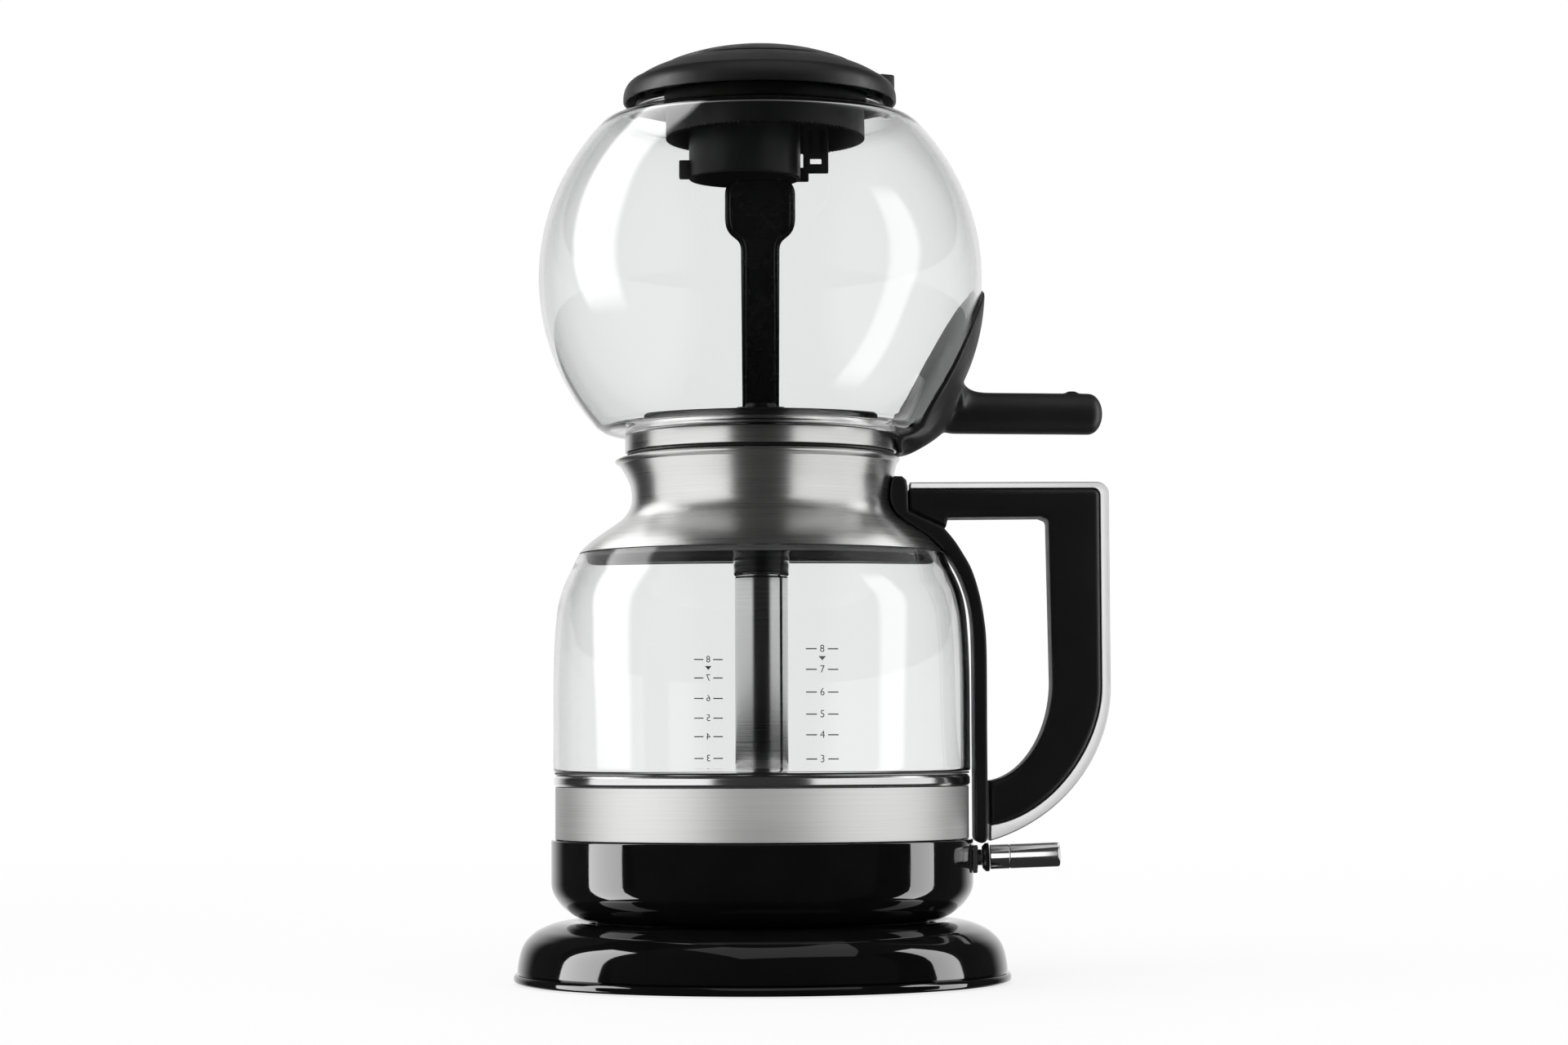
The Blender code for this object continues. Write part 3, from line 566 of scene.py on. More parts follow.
def build_drum():
    under = spline([(91.8, 43.5), (91.5, 41.2), (90.7, 38.8), (89.2, 36.3), (87.3, 33.9),
                    (84.8, 31.6), (82, 29.6), (78.6, 27.9), (75.6, 27), (72, 26.5)])
    shell = lathe("drum_body", [
        (90, 62, 0.3), (91.8, 62, 0.5), *under, (65.5, 26.4), (65.5, 28.2),
        (72, 28.3), (82, 32), (88, 38), (90, 43.5),
    ])
    slot = lathe("slot_tool", [(0, 100), (LEVER_HOLE, 100), (LEVER_HOLE, 84), (0, 84)], 48)
    cut(shell, lay_along_x(slot, LEVER_HEIGHT))
    finish_piece(shell, "gloss_black", "gloss_black", "carafe", "drum_shell")
    finish_piece(lathe("drum_foot", [
        (20.2, 30.5), (65, 30.5), (65, 26), (72.5, 26, 0.3), (72.5, 23.2, 0.6), (71, 22, 0.6),
        (66, 22), (65.6, 22.5), (64.4, 22.5), (64, 22), (20.2, 22),
    ]), "matte_black", "matte_black", "carafe", "drum_plinth")
    finish_piece(lathe("coupling_cup", [
        (0, 38), (19.4, 38, 0.6), (19.4, 22.4, 0.6), (16, 22.4, 0.6), (16, 34.8), (0, 34.8),
    ], SMALL_STEPS), "matte_black", "matte_black", "coupler", "carafe_coupling")
    finish_piece(lathe("steel_band", [
        (88.2, 85), (90, 85, 0.25), (90, 62.4, 0.4), (88.2, 62.4),
    ], FINE_STEPS), "brushed_band", "brushed_steel", "carafe", "trim_band")
    finish_piece(lathe("polished_bevel", [
        (88.2, 90.2, 0.2), (89.6, 90.2, 0.3), (90.5, 88.9, 0.5), (90.6, 86.4, 0.6),
        (89.9, 85.3, 0.3), (84, 85.3), (84, 86.8), (88.2, 86.8),
    ], FINE_STEPS), "satin_bevel", "chrome", "carafe", "bevel_ring")
    finish_piece(lathe("water_floor", [
        (0, 88.3), (20, 88.3, 4), (26, 88.6, 4), (70, 88.6, 6), (84, 88.3), (87.9, 88.6, 0.3),
        (87.9, 87.1), (0, 87.1),
    ]), "steel", "steel", "carafe", "heater_plate")
    finish_piece(lathe("glass_seat_seal", [
        (86.5, 91.3, 0.3), (90.3, 91.3, 0.3), (90.3, 90.5, 0.3), (86.5, 90.5, 0.3),
    ]), "silicone", "silicone", "carafe", "lower_seal")


def build_lower_glass():
    outside = spline([(79.7, 186.2), (81.3, 183.2), (83.2, 179), (85.1, 175.2), (86.8, 171),
                      (88.3, 166), (89.4, 159.5), (90.1, 151), (90.55, 141),
                      (90.8, 128), (90.8, 112)])
    inside = spline([(88.2, 112), (88.2, 128), (87.95, 141), (87.5, 151), (86.8, 159.2),
                     (85.7, 165.2), (84.3, 170), (82.7, 174), (80.9, 177.8), (79.1, 181.6),
                     (77.4, 185.2)])
    finish_piece(lathe("carafe_wall", [
        (77.6, 186.2), *outside, (90.8, 93.6), (90.8, 91.6, 1.1), (88.2, 91.6, 1.1), (88.2, 93.6),
        *inside,
    ], FINE_STEPS), "glass", "glass", "carafe", "carafe_glass")
    finish_piece(lathe("neck_seal", [
        (73.6, 186.1, 0.4), (76.7, 186.1, 0.4), (76.9, 184.4), (76.3, 183.6, 0.3), (73.6, 183.6),
    ]), "clear_silicone", "silicone", "carafe", "upper_seal")


SPOUT_START = 213.0
SPOUT_REACH = 3.6
SPOUT_DROP = 0.4
SPOUT_SPREAD = math.radians(17)


def build_neck():
    outside = spline([(59.6, 226), (58.9, 223.4), (57.9, 219.6), (57, 215.8), (56.6, 212),
                      (56.8, 208.4), (58.1, 205), (60.4, 201.9), (63.8, 199.2), (68.1, 196.3),
                      (72.2, 193.4), (75.6, 190.7), (78.2, 188.2), (79.6, 186.6)])
    inside = spline([(78.3, 186.6), (74.6, 190.1), (71, 192.7), (66.9, 195.4), (62.8, 198.1),
                     (59.4, 200.9), (57.1, 204.2), (55.7, 208.1), (55.5, 212),
                     (55.9, 216), (56.9, 220), (57.8, 223.8), (58.3, 226.8)])
    neck = lathe("steel_neck", [
        (58.7, 229.1, 0.4), (60.1, 229, 0.7), (60.9, 227.8, 0.8), (60.2, 226.6, 0.5), *outside,
        *inside,
    ], 240)
    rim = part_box("carafe_neck")[1].z / MM
    for vertex in neck.data.vertices:
        rise = max(0, (vertex.co.z / MM - SPOUT_START) / (rim - SPOUT_START))
        away = math.pi - abs(math.atan2(vertex.co.y, vertex.co.x))
        pull = SPOUT_REACH * MM * rise ** 2 * math.exp(-((away / SPOUT_SPREAD) ** 2) / 2)
        vertex.co.x -= pull
        vertex.co.z -= pull * SPOUT_DROP * rise
    finish_piece(neck, "brushed_neck", "brushed_steel", "carafe", "carafe_neck")


def wrap(piece):
    """Bends a flat piece round the object's axis, keeping each point's distance from it."""
    for vertex in piece.data.vertices:
        x, y, z = vertex.co
        angle = y / x
        vertex.co = (x * math.cos(angle), x * math.sin(angle), z)
    return piece


def build_handle():
    strap_outer = spline([(80.2, 197.2), (84.6, 191.9), (88.4, 186), (92.2, 178.9),
                          (95.3, 169), (97.4, 157.7), (98.4, 144), (98.4, 110)], 5)
    strap_inner = spline([(92.9, 110), (92.8, 147), (91.6, 162.2), (88.6, 173),
                          (84.8, 181), (79.9, 187.6), (74.4, 193), (68.7, 197.1),
                          (62.7, 201.2), (59.2, 205), (57.4, 210), (57.7, 215.6),
                          (58.6, 219.2)], 5)
    foot = arc((95.65, 62.95), 2.75, 0, -180, 8)
    outline = [(59, 219.7), (62.4, 219.6), (64.3, 218), (64.9, 215), (65.2, 204.2),
               *strap_outer, *foot, *strap_inner]
    strap = wrap(plate("strap", outline, 13, 1.3))
    finish_piece(strap, "grip_black", "matte_black", "carafe", "handle_strap")

    inner_bow = bezier((126.2, 130), (126, 108), (114, 89), (98.8, 87.1))
    middle_bow = bezier((147.5, 128), (147.5, 103), (126, 72), (98.8, 68.2))
    outer_bow = bezier((151.6, 128), (151.6, 98), (130, 70), (98.8, 61.1))
    grip_outline = [(64.4, 214), *arc((144.5, 210.9), 3, 90, 0, 6), *middle_bow,
                    *reversed(inner_bow), *arc((122.6, 199), 2.5, 0, 45, 3),
                    (121.8, 201.8), (81.5, 201.6), (80.5, 197.6), (64.6, 205)]
    grip = plate("grip", grip_outline, 12, 2.6)
    finish_piece(grip, "grip_black", "matte_black", "carafe", "handle_grip",
                 "handle_screw_lower", "handle_screw_upper")

    inside = [(x + 0.2, z - 0.2) for x, z in middle_bow]
    trim_outline = [(65, 217), *arc((146.6, 212), 5, 90, 0, 10), *outer_bow,
                    *reversed(inside), *arc((144.6, 211), 3.1, 0, 90, 6), (65, 214.2)]
    trim = plate("handle_edge_trim", trim_outline, 10.6, 0.6)
    finish_piece(trim, "brushed_trim", "brushed_steel", "carafe", "handle_trim")


# ---- Switch lever ----

LEVER_HEIGHT = 53.4
LEVER_HOLE = 5.7
LEVER = {"height": LEVER_HEIGHT, "tilt": 2, "pivot": 86.0}


def build_lever():
    plate_ring = lathe("lever_plate_ring", [
        (92.1, 59.4, 0.2), (94, 59.4, 0.7), (94, 47.4, 0.7), (92.1, 47.4, 0.2),
    ], 480)
    window = rounded_box("plate_window", (80, -14, 40), (110, 14, 70), 0.1, 1)
    cut(plate_ring, window, "INTERSECT")
    hole = lathe("plate_hole", [(0, 100), (LEVER_HOLE, 100), (LEVER_HOLE, 84), (0, 84)], 64)
    cut(plate_ring, lay_along_x(hole, LEVER_HEIGHT))
    plate_ring.name = "lever_plate"
    finish_piece(plate_ring, "chrome", "chrome", "carafe", "lever_escutcheon")
    collar = lathe("lever_boot", [
        (0, 98.8), (6.2, 98.8, 0.5), (6.2, 97.3, 0.6), (4.7, 95.8, 0.4), (0, 95.8),
    ], SMALL_STEPS)
    finish_piece(lay_along_x(collar, **LEVER), "matte_black", "matte_black", "lever",
                 "lever_collar")
    rod = lathe("lever_bar", [
        (0, 129.6), (5.4, 129.6, 1), (5.4, 108, 0.15), (5.1, 107.7, 0.1), (5.4, 107.4, 0.15),
        (5.4, 99.2, 0.3), (0, 99.2),
    ], SMALL_STEPS)
    finish_piece(lay_along_x(rod, **LEVER), "satin_chrome", "chrome", "lever", "lever_rod")


# ---- Brew unit ----

GLOBE_CENTRE = 307.5
GLOBE_R = 97.3
GLOBE_WALL = 2.4
GRIP_R = 9.2
GRIP_HEIGHT = 249.1
BREW_HANDLE_TURN = 7.0
REMESH_VOXEL = 0.0008
LID_TAB_TURN = 27.0


def sphere_profile(radius, z_from, z_to):
    start = math.acos((z_from - GLOBE_CENTRE) / radius)
    end = math.acos((z_to - GLOBE_CENTRE) / radius)
    path = []
    for k in range(SPHERE_STEPS + 1):
        angle = start + (end - start) * k / SPHERE_STEPS
        path.append((radius * math.sin(angle), GLOBE_CENTRE + radius * math.cos(angle)))
    return path


def build_globe():
    neck_in = GLOBE_R - GLOBE_WALL
    top_curve = spline([(54.7, 390), (54.7, 386.6), (55.2, 383.8), (56.5, 381.6),
                        (58.8, 380), (61.8, 379.1), (65, 378.2), (67.4, 377.1)], 5)
    foot_curve = spline([(70.1, 240.9), (68.4, 239.9), (66.3, 239.3), (63, 238.9),
                         (60.2, 238.8)], 5)
    inner_foot = spline([(59.2, 241.1), (62.6, 241.3), (65.6, 241.7), (67.8, 242.4)], 5)
    inner_top = spline([(66.6, 374.6), (63.9, 375.8), (60.8, 376.7), (57.6, 377.7), (54.8, 379.6),
                        (53, 382.6), (52.3, 386.4), (51.9, 390)], 5)
    finish_piece(lathe("globe", [
        (51.9, 392.8, 0.9), (54.7, 392.8, 0.9), *top_curve,
        *sphere_profile(GLOBE_R, 375.6, 241.7), *foot_curve, (58.6, 238.7, 0.6), (58, 237.6, 0.6),
        (58, 232.7, 0.8), (55.6, 232.7, 0.8), (55.6, 238.2, 1.5), (57.2, 240.6, 1.5), *inner_foot,
        *reversed(sphere_profile(neck_in, 373.2, 243.3)), *inner_top,
    ], 240), "glass", "glass", "brew_unit", "upper_glass")


def build_brew_parts():
    finish_piece(lathe("brew_band", [
        (58.4, 238.2, 0.2), (59.5, 238.2, 0.35), (59.5, 230.8, 0.5), (50, 230.8), (50, 232.2),
        (58.4, 232.2),
    ], FINE_STEPS), "brushed_neck", "brushed_steel", "brew_unit", "brew_collar")
    finish_piece(lathe("brew_gasket_ring", [
        (55.6, 230.5, 0.2), (58.6, 230.5, 0.3), (58.2, 229.4, 0.4), (55.6, 229.4, 0.2),
    ]), "silicone", "silicone", "brew_unit", "brew_gasket")
    finish_piece(lathe("brew_base_plate", [
        (12.2, 235.5, 0.3), (55.2, 235.5, 0.6), (55.2, 232.5, 0.6), (12.2, 232.5),
    ]), "matte_black", "matte_black", "brew_unit", "brew_floor")
    finish_piece(lathe("brew_plug_seal", [
        (49, 230.5), (54.6, 230.5, 0.3), (54.6, 228.6, 0.6), (52, 227, 0.4), (54.4, 224.4, 0.6),
        (51.8, 222, 0.4), (53.8, 219.4, 0.8), (49, 219.4, 0.5),
    ]), "clear_silicone", "silicone", "brew_unit", "brew_seal")
    nut = lathe("clamp_nut", [(11.1, 239, 0.3), (16.4, 239, 0.6), (16.4, 235.8), (11.1, 235.8)],
                SMALL_STEPS)
    hexagon = lathe("hexagon", [(0, 245), (17.3, 245), (17.3, 230), (0, 230)], 6)
    cut(nut, hexagon, "INTERSECT")
    finish_piece(nut, "steel", "steel", "brew_unit", "tube_nut")
    finish_piece(lathe("riser_tube", [
        (9.6, 240), (10.6, 240, 0.2), (10.6, 176.8), (11.3, 176.8, 0.25), (11.6, 176.2, 0.3),
        (11.6, 91.6, 1), (10.4, 89.5, 0.4), (9.6, 89.5, 0.3),
    ], SMALL_STEPS), "tube_steel", "brushed_steel", "brew_unit", "siphon_tube")
    finish_piece(lathe("riser_sleeve", [
        (11.1, 232.2), (13, 232.2, 0.3), (13, 192, 12), (12.1, 177.7, 0.3), (11.6, 177.2, 0.2),
        (11.1, 177.2),
    ], SMALL_STEPS), "tube_steel", "brushed_steel", "brew_unit", "tube_sleeve")


def resample(path, count):
    """Points at even shares of a path's length."""
    lengths = [math.dist(a, b) for a, b in zip(path, path[1:])]
    total = sum(lengths)
    result = []
    for k in range(count + 1):
        left = total * k / count
        i = 0
        while i < len(lengths) - 1 and left > lengths[i]:
            left -= lengths[i]
            i += 1
        share = min(1, left / lengths[i])
        result.append(tuple(p + (q - p) * share for p, q in zip(path[i], path[i + 1])))
    return result


def build_brew_handle():
    """A spoon-shaped pad that hugs the globe, blended into a round grip."""
    rows, columns = 96, 64
    inside = spline([(60.1, 230), (60.3, 236.2), (61.6, 237.8), (66.5, 238.3), (72, 240.8)], 4)
    inside += list(reversed(sphere_profile(GLOBE_R + 0.3, 302.6, 244.4)))
    outside = spline([(61.8, 229.6), (66, 230.7), (71.6, 233.6), (78, 237.8),
                      (84, 243.4), (87, 250), (87.6, 256.6)], 4)
    for r, z in reversed(sphere_profile(GLOBE_R, 303.6, 262.4)):
        lift = 1 + (3.0 - 1.6 * (z - 262.4) / 41.2) / GLOBE_R
        outside.append((r * lift, GLOBE_CENTRE + (z - GLOBE_CENTRE) * lift))
    widths = spline([(0, 15), (0.08, 19), (0.2, 25.5), (0.35, 30), (0.5, 29.6),
                     (0.65, 27.6), (0.8, 23), (0.9, 17.5), (0.96, 11.5), (1, 2.5)], 8)
    inner_line = resample(inside, rows)
    outer_line = resample(outside, rows)
    shape = bmesh.new()
    grid = {}
    for i in range(rows + 1):
        t = i / rows
        half = next(v0 + (v1 - v0) * (t - t0) / (t1 - t0)
                    for (t0, v0), (t1, v1) in zip(widths, widths[1:]) if t <= t1 + 1e-9)
        (ri, zi), (ro, zo) = inner_line[i], outer_line[i]
        thick = math.dist((ri, zi), (ro, zo))
        edge = min(1, 2.6 / thick)
        for j in range(columns + 1):
            across = 2 * j / columns - 1
            azimuth = math.radians(half * across)
            depth = edge + (1 - edge) * max(0, 1 - (2.2 * across) ** 2) ** 1.5
            for side, share in (("in", 0), ("out", depth)):
                r = ri + (ro - ri) * share
                z = zi + (zo - zi) * share
                grid[side, i, j] = shape.verts.new((r * math.cos(azimuth) * MM,
                                                    r * math.sin(azimuth) * MM, z * MM))
    for i in range(rows):
        for j in range(columns):
            for side in ("in", "out"):
                shape.faces.new([grid[side, i, j], grid[side, i, j + 1],
                                 grid[side, i + 1, j + 1], grid[side, i + 1, j]])
        for j in (0, columns):
            shape.faces.new([grid["in", i, j], grid["in", i + 1, j],
                             grid["out", i + 1, j], grid["out", i, j]])
    for j in range(columns):
        for i in (0, rows):
            shape.faces.new([grid["in", i, j], grid["in", i, j + 1],
                             grid["out", i, j + 1], grid["out", i, j]])
    bmesh.ops.recalc_face_normals(shape, faces=shape.faces)
    pad = new_piece("pad_and_grip", mesh_from(shape, "pad"))
    end = [(GRIP_R * math.sin(a), 146.4 + 6.2 * math.cos(a))
           for a in (math.radians(6 * d) for d in range(1, 16))]
    grip = lathe("grip_tool", [(0, 152.6), *end, (GRIP_R, 104),
                               *spline([(GRIP_R, 104), (9.3, 99), (9.9, 95), (11.6, 91.6),
                                        (14.6, 89.2), (18, 88.2)], 4), (18, 86),
                               (9, 83), (0, 83)],
                 SMALL_STEPS)
    for vertex in grip.data.vertices:
        x, y, z = vertex.co
        radius = math.hypot(x, y)
        if radius > GRIP_R * MM:
            above = max(0, -x / radius) ** 0.7
            share = (GRIP_R * MM + (radius - GRIP_R * MM) * above) / radius
            vertex.co = (x * share, y * share, z)
    lay_along_x(grip, GRIP_HEIGHT)
    button = lathe("button_tool", [(0, 259.2), (2.4, 259.2, 0.4), (2.4, 255), (0, 255)], 32,
                   (139, 0))
    for tool in (grip, button):
        join = pad.modifiers.new("join", "BOOLEAN")
        join.operation = "UNION"
        join.solver = "EXACT"
        join.object = tool
    remesh = pad.modifiers.new("remesh", "REMESH")
    remesh.mode = "VOXEL"
    remesh.voxel_size = REMESH_VOXEL
    relax = pad.modifiers.new("relax", "SMOOTH")
    relax.factor = 0.5
    relax.iterations = 9
    mesh = applied(pad)
    pad.modifiers.clear()
    pad.data = mesh
    mesh.shade_smooth()
    for tool in (grip, button):
        bpy.data.objects.remove(tool, do_unlink=True)
    turn_about_z(mesh.vertices, BREW_HANDLE_TURN)
    finish_piece(pad, "grip_black", "matte_black", "brew_unit", "brew_handle_pad",
                 "brew_handle_grip", "brew_handle_screw")


# ---- Filter ----

def build_filter():
    frame_ring = lathe("filter_plate", [
        (11.3, 246, 0.3), (49.8, 246, 0.9), (51, 244.6, 0.9), (51, 239.4, 0.6),
        (48.6, 239.4, 0.6), (48.6, 243.6), (11.3, 243.6),
    ])
    for number in range(6):
        angle = math.radians(60 * number + 30)
        spot = (31.0 * math.cos(angle), 31.0 * math.sin(angle))
        window = lathe("window", [(0, 250), (11, 250), (11, 236), (0, 236)], 48, spot)
        cut(frame_ring, window)
    finish_piece(frame_ring, "matte_black", "matte_black", "filter", "filter_frame")
    finish_piece(lathe("filter_screen", [
        (11.3, 242.6), (48.2, 242.6), (48.2, 241.6), (11.3, 241.6),
    ]), "mesh", "steel", "filter", "filter_mesh")
    finish_piece(lathe("filter_boss", [
        (0, 252.6), (6.9, 252.6, 0.5), (7.3, 250.9, 0.3), (10.2, 250.7, 0.5), (10.4, 248.9, 0.3),
        (11.2, 248.6, 0.4), (11.2, 246.4, 0.3), (10.7, 246.2), (10.7, 241), (0, 241),
    ], SMALL_STEPS), "paddle_black", "matte_black", "filter", "filter_hub")
    right = [(8, 250.1), (8, 318),
             *bezier((8, 320), (8, 329), (15, 325), (15, 335), 14),
             *arc((9, 345.3), 6, 0, 90, 8)]
    outline = [(-x, z) for x, z in right] + list(reversed(right))
    blade = plate("paddle", outline, 1.15, 0.5)
    finish_piece(blade, "paddle_black", "paddle_black", "filter", "filter_handle")
    inset = 1.0
    edge = [(x - inset if x > 0 else x + inset, min(z, 350.3)) for x, z in outline]
    bead = closed_bead("paddle_bead", [(x, 0, z) for x, z in edge], 1.55, 5)
    finish_piece(bead, "paddle_black", "paddle_black", "filter")


# ---- Lid ----

def build_lid():
    crown = spline([(0, 410.6), (10, 410.1), (20, 408.7), (29, 406.7), (36, 404.5),
                    (40.2, 402.9)], 8)
    finish_piece(lathe("lid_dome", [
        *crown[:-1], (40.7, 402.7, 0.3), (40.8, 401.6, 0.2), (40.8, 400.6), (38.6, 400.6),
        (32, 403.2), (23, 405.6), (0, 408.4),
    ]), "matte_black", "matte_black", "lid", "lid_cap")
    finish_piece(lathe("lid_band", [
        (41.3, 402, 0.2), *spline([(41.8, 401.9), (45.2, 400.6), (48.8, 399), (52.4, 397),
                                     (55.2, 395.2)]), (55.6, 394.8), (41.2, 394.8),
    ]), "lid_grey", "lid_grey", "lid", "lid_ring")
    skirt = spline([(56.4, 394.7), (57.7, 393.6), (58.8, 392.2), (59.6, 390.5), (60.1, 388.4),
                    (60.2, 386.4)])
    brim = lathe("lid_rim", [
        (0, 394.6), (55.4, 394.6), (56, 394.9, 0.2), *skirt, (60.1, 385.3, 0.4),
        (59.1, 385.3, 0.3), (58.6, 387), (57.6, 389.8), (56.6, 391.8), (55.4, 393.2), (0, 393.2),
    ], FINE_STEPS)
    tab = rounded_box("tab_tool", (56.6, -8, 391), (64, 8, 402.4), 1)
    turn_about_z(tab.data.vertices, LID_TAB_TURN)
    cut(brim, tab, "UNION")
    finish_piece(brim, "matte_black", "matte_black", "lid", "lid_brim")
    finish_piece(lathe("lid_seal", [
        (47.2, 393), (50.4, 393, 0.3), (51.2, 391.4, 0.4), (49.6, 389.6, 0.4), (51, 387.8, 0.4),
        (47.2, 387.4, 0.4),
    ]), "silicone", "silicone", "lid", "lid_gasket")

    def teeth(z, angle):
        """Fine serrations along the lower edge."""
        return 0.7 * abs(math.sin(angle * 60)) if z < 370.0 else 0.0

    finish_piece(lathe("lid_drum", [
        (41.9, 393), (43.9, 393), (43.9, 371), (43.9, 369.4, 0.3), (41.9, 369.4, 0.3),
        (41.9, 371),
    ], 480, (2.4, 0), teeth), "matte_black", "matte_black", "lid", "lid_collar")
    socket = lathe("lid_socket", [
        (22.6, 393), (24.6, 393), (24.6, 351.8, 0.6), (22.6, 351.8, 0.6),
    ], 144, (-6.7, 0))
    hook = rounded_box("hook_tool", (-35.6, -4, 352.2), (-30.2, 2, 360), 0.5, 2)
    cut(socket, hook, "UNION")
    lug = rounded_box("lug_tool", (15.2, 5, 352.2), (21.6, 10, 358), 0.5, 2)
    cut(socket, lug, "UNION")
    finish_piece(socket, "matte_black", "matte_black", "lid", "tube_socket")
    clip = rounded_box("lid_latch", (19, -10, 353.5), (30, -5, 392.9), 0.4, 2)
    cut(clip, rounded_box("latch_window", (22, -15, 357), (27, 0, 360), 0.2, 1))
    for x in (21.2, 26):
        cut(clip, rounded_box("latch_slot", (x, -12, 362), (x + 2.2, -7.5, 372), 0.2, 1))
    finish_piece(clip, "matte_black", "matte_black", "lid", "lid_clip")


# ---- Level scale: a dash, a number and a dash at each cup ----

SCALE_HEIGHTS = {"3": 97, "4": 107, "5": 115.5, "6": 124.6, "7": 134, "8": 142.5}


def on_glass(piece, azimuth, height, radius):
    """Wraps a flat mark, drawn in x and y, onto the carafe's outer wall."""
    for vertex in piece.data.vertices:
        x, y, z = vertex.co
        angle = math.radians(azimuth) + x / radius
        r = radius + z
        vertex.co = (r * math.cos(angle), r * math.sin(angle), height + y)


def build_scale():
    radius = 90.95 * MM
    marks = []
    for azimuth in (-74, 106):
        for digit, height in SCALE_HEIGHTS.items():
            text = bpy.data.curves.new("digit", "FONT")
            text.body = digit
            text.size = 4.4 * MM
            text.align_x = "CENTER"
            text.align_y = "CENTER"
            text.extrude = 0.02 * MM
            text.resolution_u = 3
            source = bpy.data.objects.new("digit", text)
            bpy.context.scene.collection.objects.link(source)
            mark = new_piece("digit", mesh_of(source, "digit"))
            on_glass(mark, azimuth, height * MM, radius)
            marks.append(mark)
            for side in (-1, 1):
                low, high = sorted((side * 2.4, side * 7))
                dash = rounded_box("dash", (low, -0.26, -0.02), (high, 0.26, 0.02), 0.01, 1)
                on_glass(dash, azimuth, height * MM, radius)
                marks.append(dash)
        mesh = bpy.data.meshes.new("top_mark")
        mesh.from_pydata([(-1.6 * MM, 0.9 * MM, 0), (1.6 * MM, 0.9 * MM, 0), (0, -0.9 * MM, 0)],
                         [], [(0, 2, 1)])
        top_mark = new_piece("top_mark", mesh)
        on_glass(top_mark, azimuth, 138.6 * MM, radius)
        marks.append(top_mark)
    shape = bmesh.new()
    for mark in marks:
        shape.from_mesh(mark.data)
        bpy.data.objects.remove(mark, do_unlink=True)
    scale = new_piece("level_scale", mesh_from(shape, "level_scale"))
    finish_piece(scale, "print", "lid_grey", "carafe")


# ---- CAD nodes that stay, with their own finish ----

KEPT = {
    "base_screw_1": "steel", "base_screw_2": "steel", "base_screw_3": "steel",
    "heating_element": "steel", "thermostat": "brass", "control_module": "housing",
    "lever_bracket": "steel", "lever_pin": "steel", "lever_arm": "steel",
}


def finish_kept_nodes():
    for name, look in KEPT.items():
        node = frame["nodes"][name]
        node.data.materials.clear()
        node.data.materials.append(LOOKS[look])


# ---- Studio ----

def softbox(name, azimuth, distance, height, size, radiance, receivers):
    """A rectangular light that faces the object. Azimuth 0 is the camera's side."""
    light = bpy.data.lights.new(name, "AREA")
    light.shape = "RECTANGLE"
    light.size, light.size_y = size
    light.energy = radiance * math.pi * size[0] * size[1]
    angle = math.radians(azimuth)
    spot = Vector((distance * math.sin(angle), -distance * math.cos(angle), height))
    place_light(name, light, spot, receivers)


def place_light(name, light, spot, receivers):
    box = bpy.data.objects.new(name, light)
    box.location = spot
    box.rotation_euler = (STUDIO_CENTRE - spot).to_track_quat("-Z", "Y").to_euler()
    box.visible_camera = False
    box.visible_transmission = False
    bpy.context.scene.collection.objects.link(box)
    box.light_linking.receiver_collection = receivers


STUDIO_CENTRE = Vector((0, 0, 0.3))
PANEL_DISTANCE = 1.8


def glow_panel(name, front, back, radiance, receivers, soft):
    """A curved panel of soft-edged light, spanned between two lines of directions from the
    object. soft is the share of its width and of its length over which an edge fades."""
    front = spline(front, 8)
    back = spline(back, 8)
    columns = 16
    shape = bmesh.new()
    grid = []
    glow = []
    for i, (a, b) in enumerate(zip(front, back)):
        along = i / (len(front) - 1)
        row = []
        for j in range(columns + 1):
            across = j / columns
            direction = Vector(a).lerp(Vector(b), across).normalized()
            row.append(shape.verts.new(STUDIO_CENTRE + direction * PANEL_DISTANCE))
            fade = 1.0
            for share, width in ((across, soft[0]), (along, soft[1])):
                t = min(1.0, min(share, 1 - share) / width)
                fade *= t * t * (3 - 2 * t)
            glow.append(fade)
        grid.append(row)
    for upper, lower in zip(grid, grid[1:]):
        for j in range(columns):
            shape.faces.new([upper[j], upper[j + 1], lower[j + 1], lower[j]])
    mesh = mesh_from(shape, name)
    values = mesh.attributes.new("glow", "FLOAT", "POINT")
    values.data.foreach_set("value", glow)
    material = bpy.data.materials.new(name)
    material.use_nodes = True
    tree = material.node_tree
    tree.nodes.clear()
    strength = tree.nodes.new("ShaderNodeAttribute")
    strength.attribute_name = "glow"
    scale = tree.nodes.new("ShaderNodeMath")
    scale.operation = "MULTIPLY"
    scale.inputs[1].default_value = radiance
    tree.links.new(strength.outputs["Fac"], scale.inputs[0])
    emission = tree.nodes.new("ShaderNodeEmission")
    tree.links.new(scale.outputs[0], emission.inputs["Strength"])
    output = tree.nodes.new("ShaderNodeOutputMaterial")
    tree.links.new(emission.outputs[0], output.inputs["Surface"])
    mesh.materials.append(material)
    panel = new_piece(name, mesh)
    panel.visible_camera = False
    panel.visible_transmission = False
    panel.visible_shadow = False
    panel.light_linking.receiver_collection = receivers


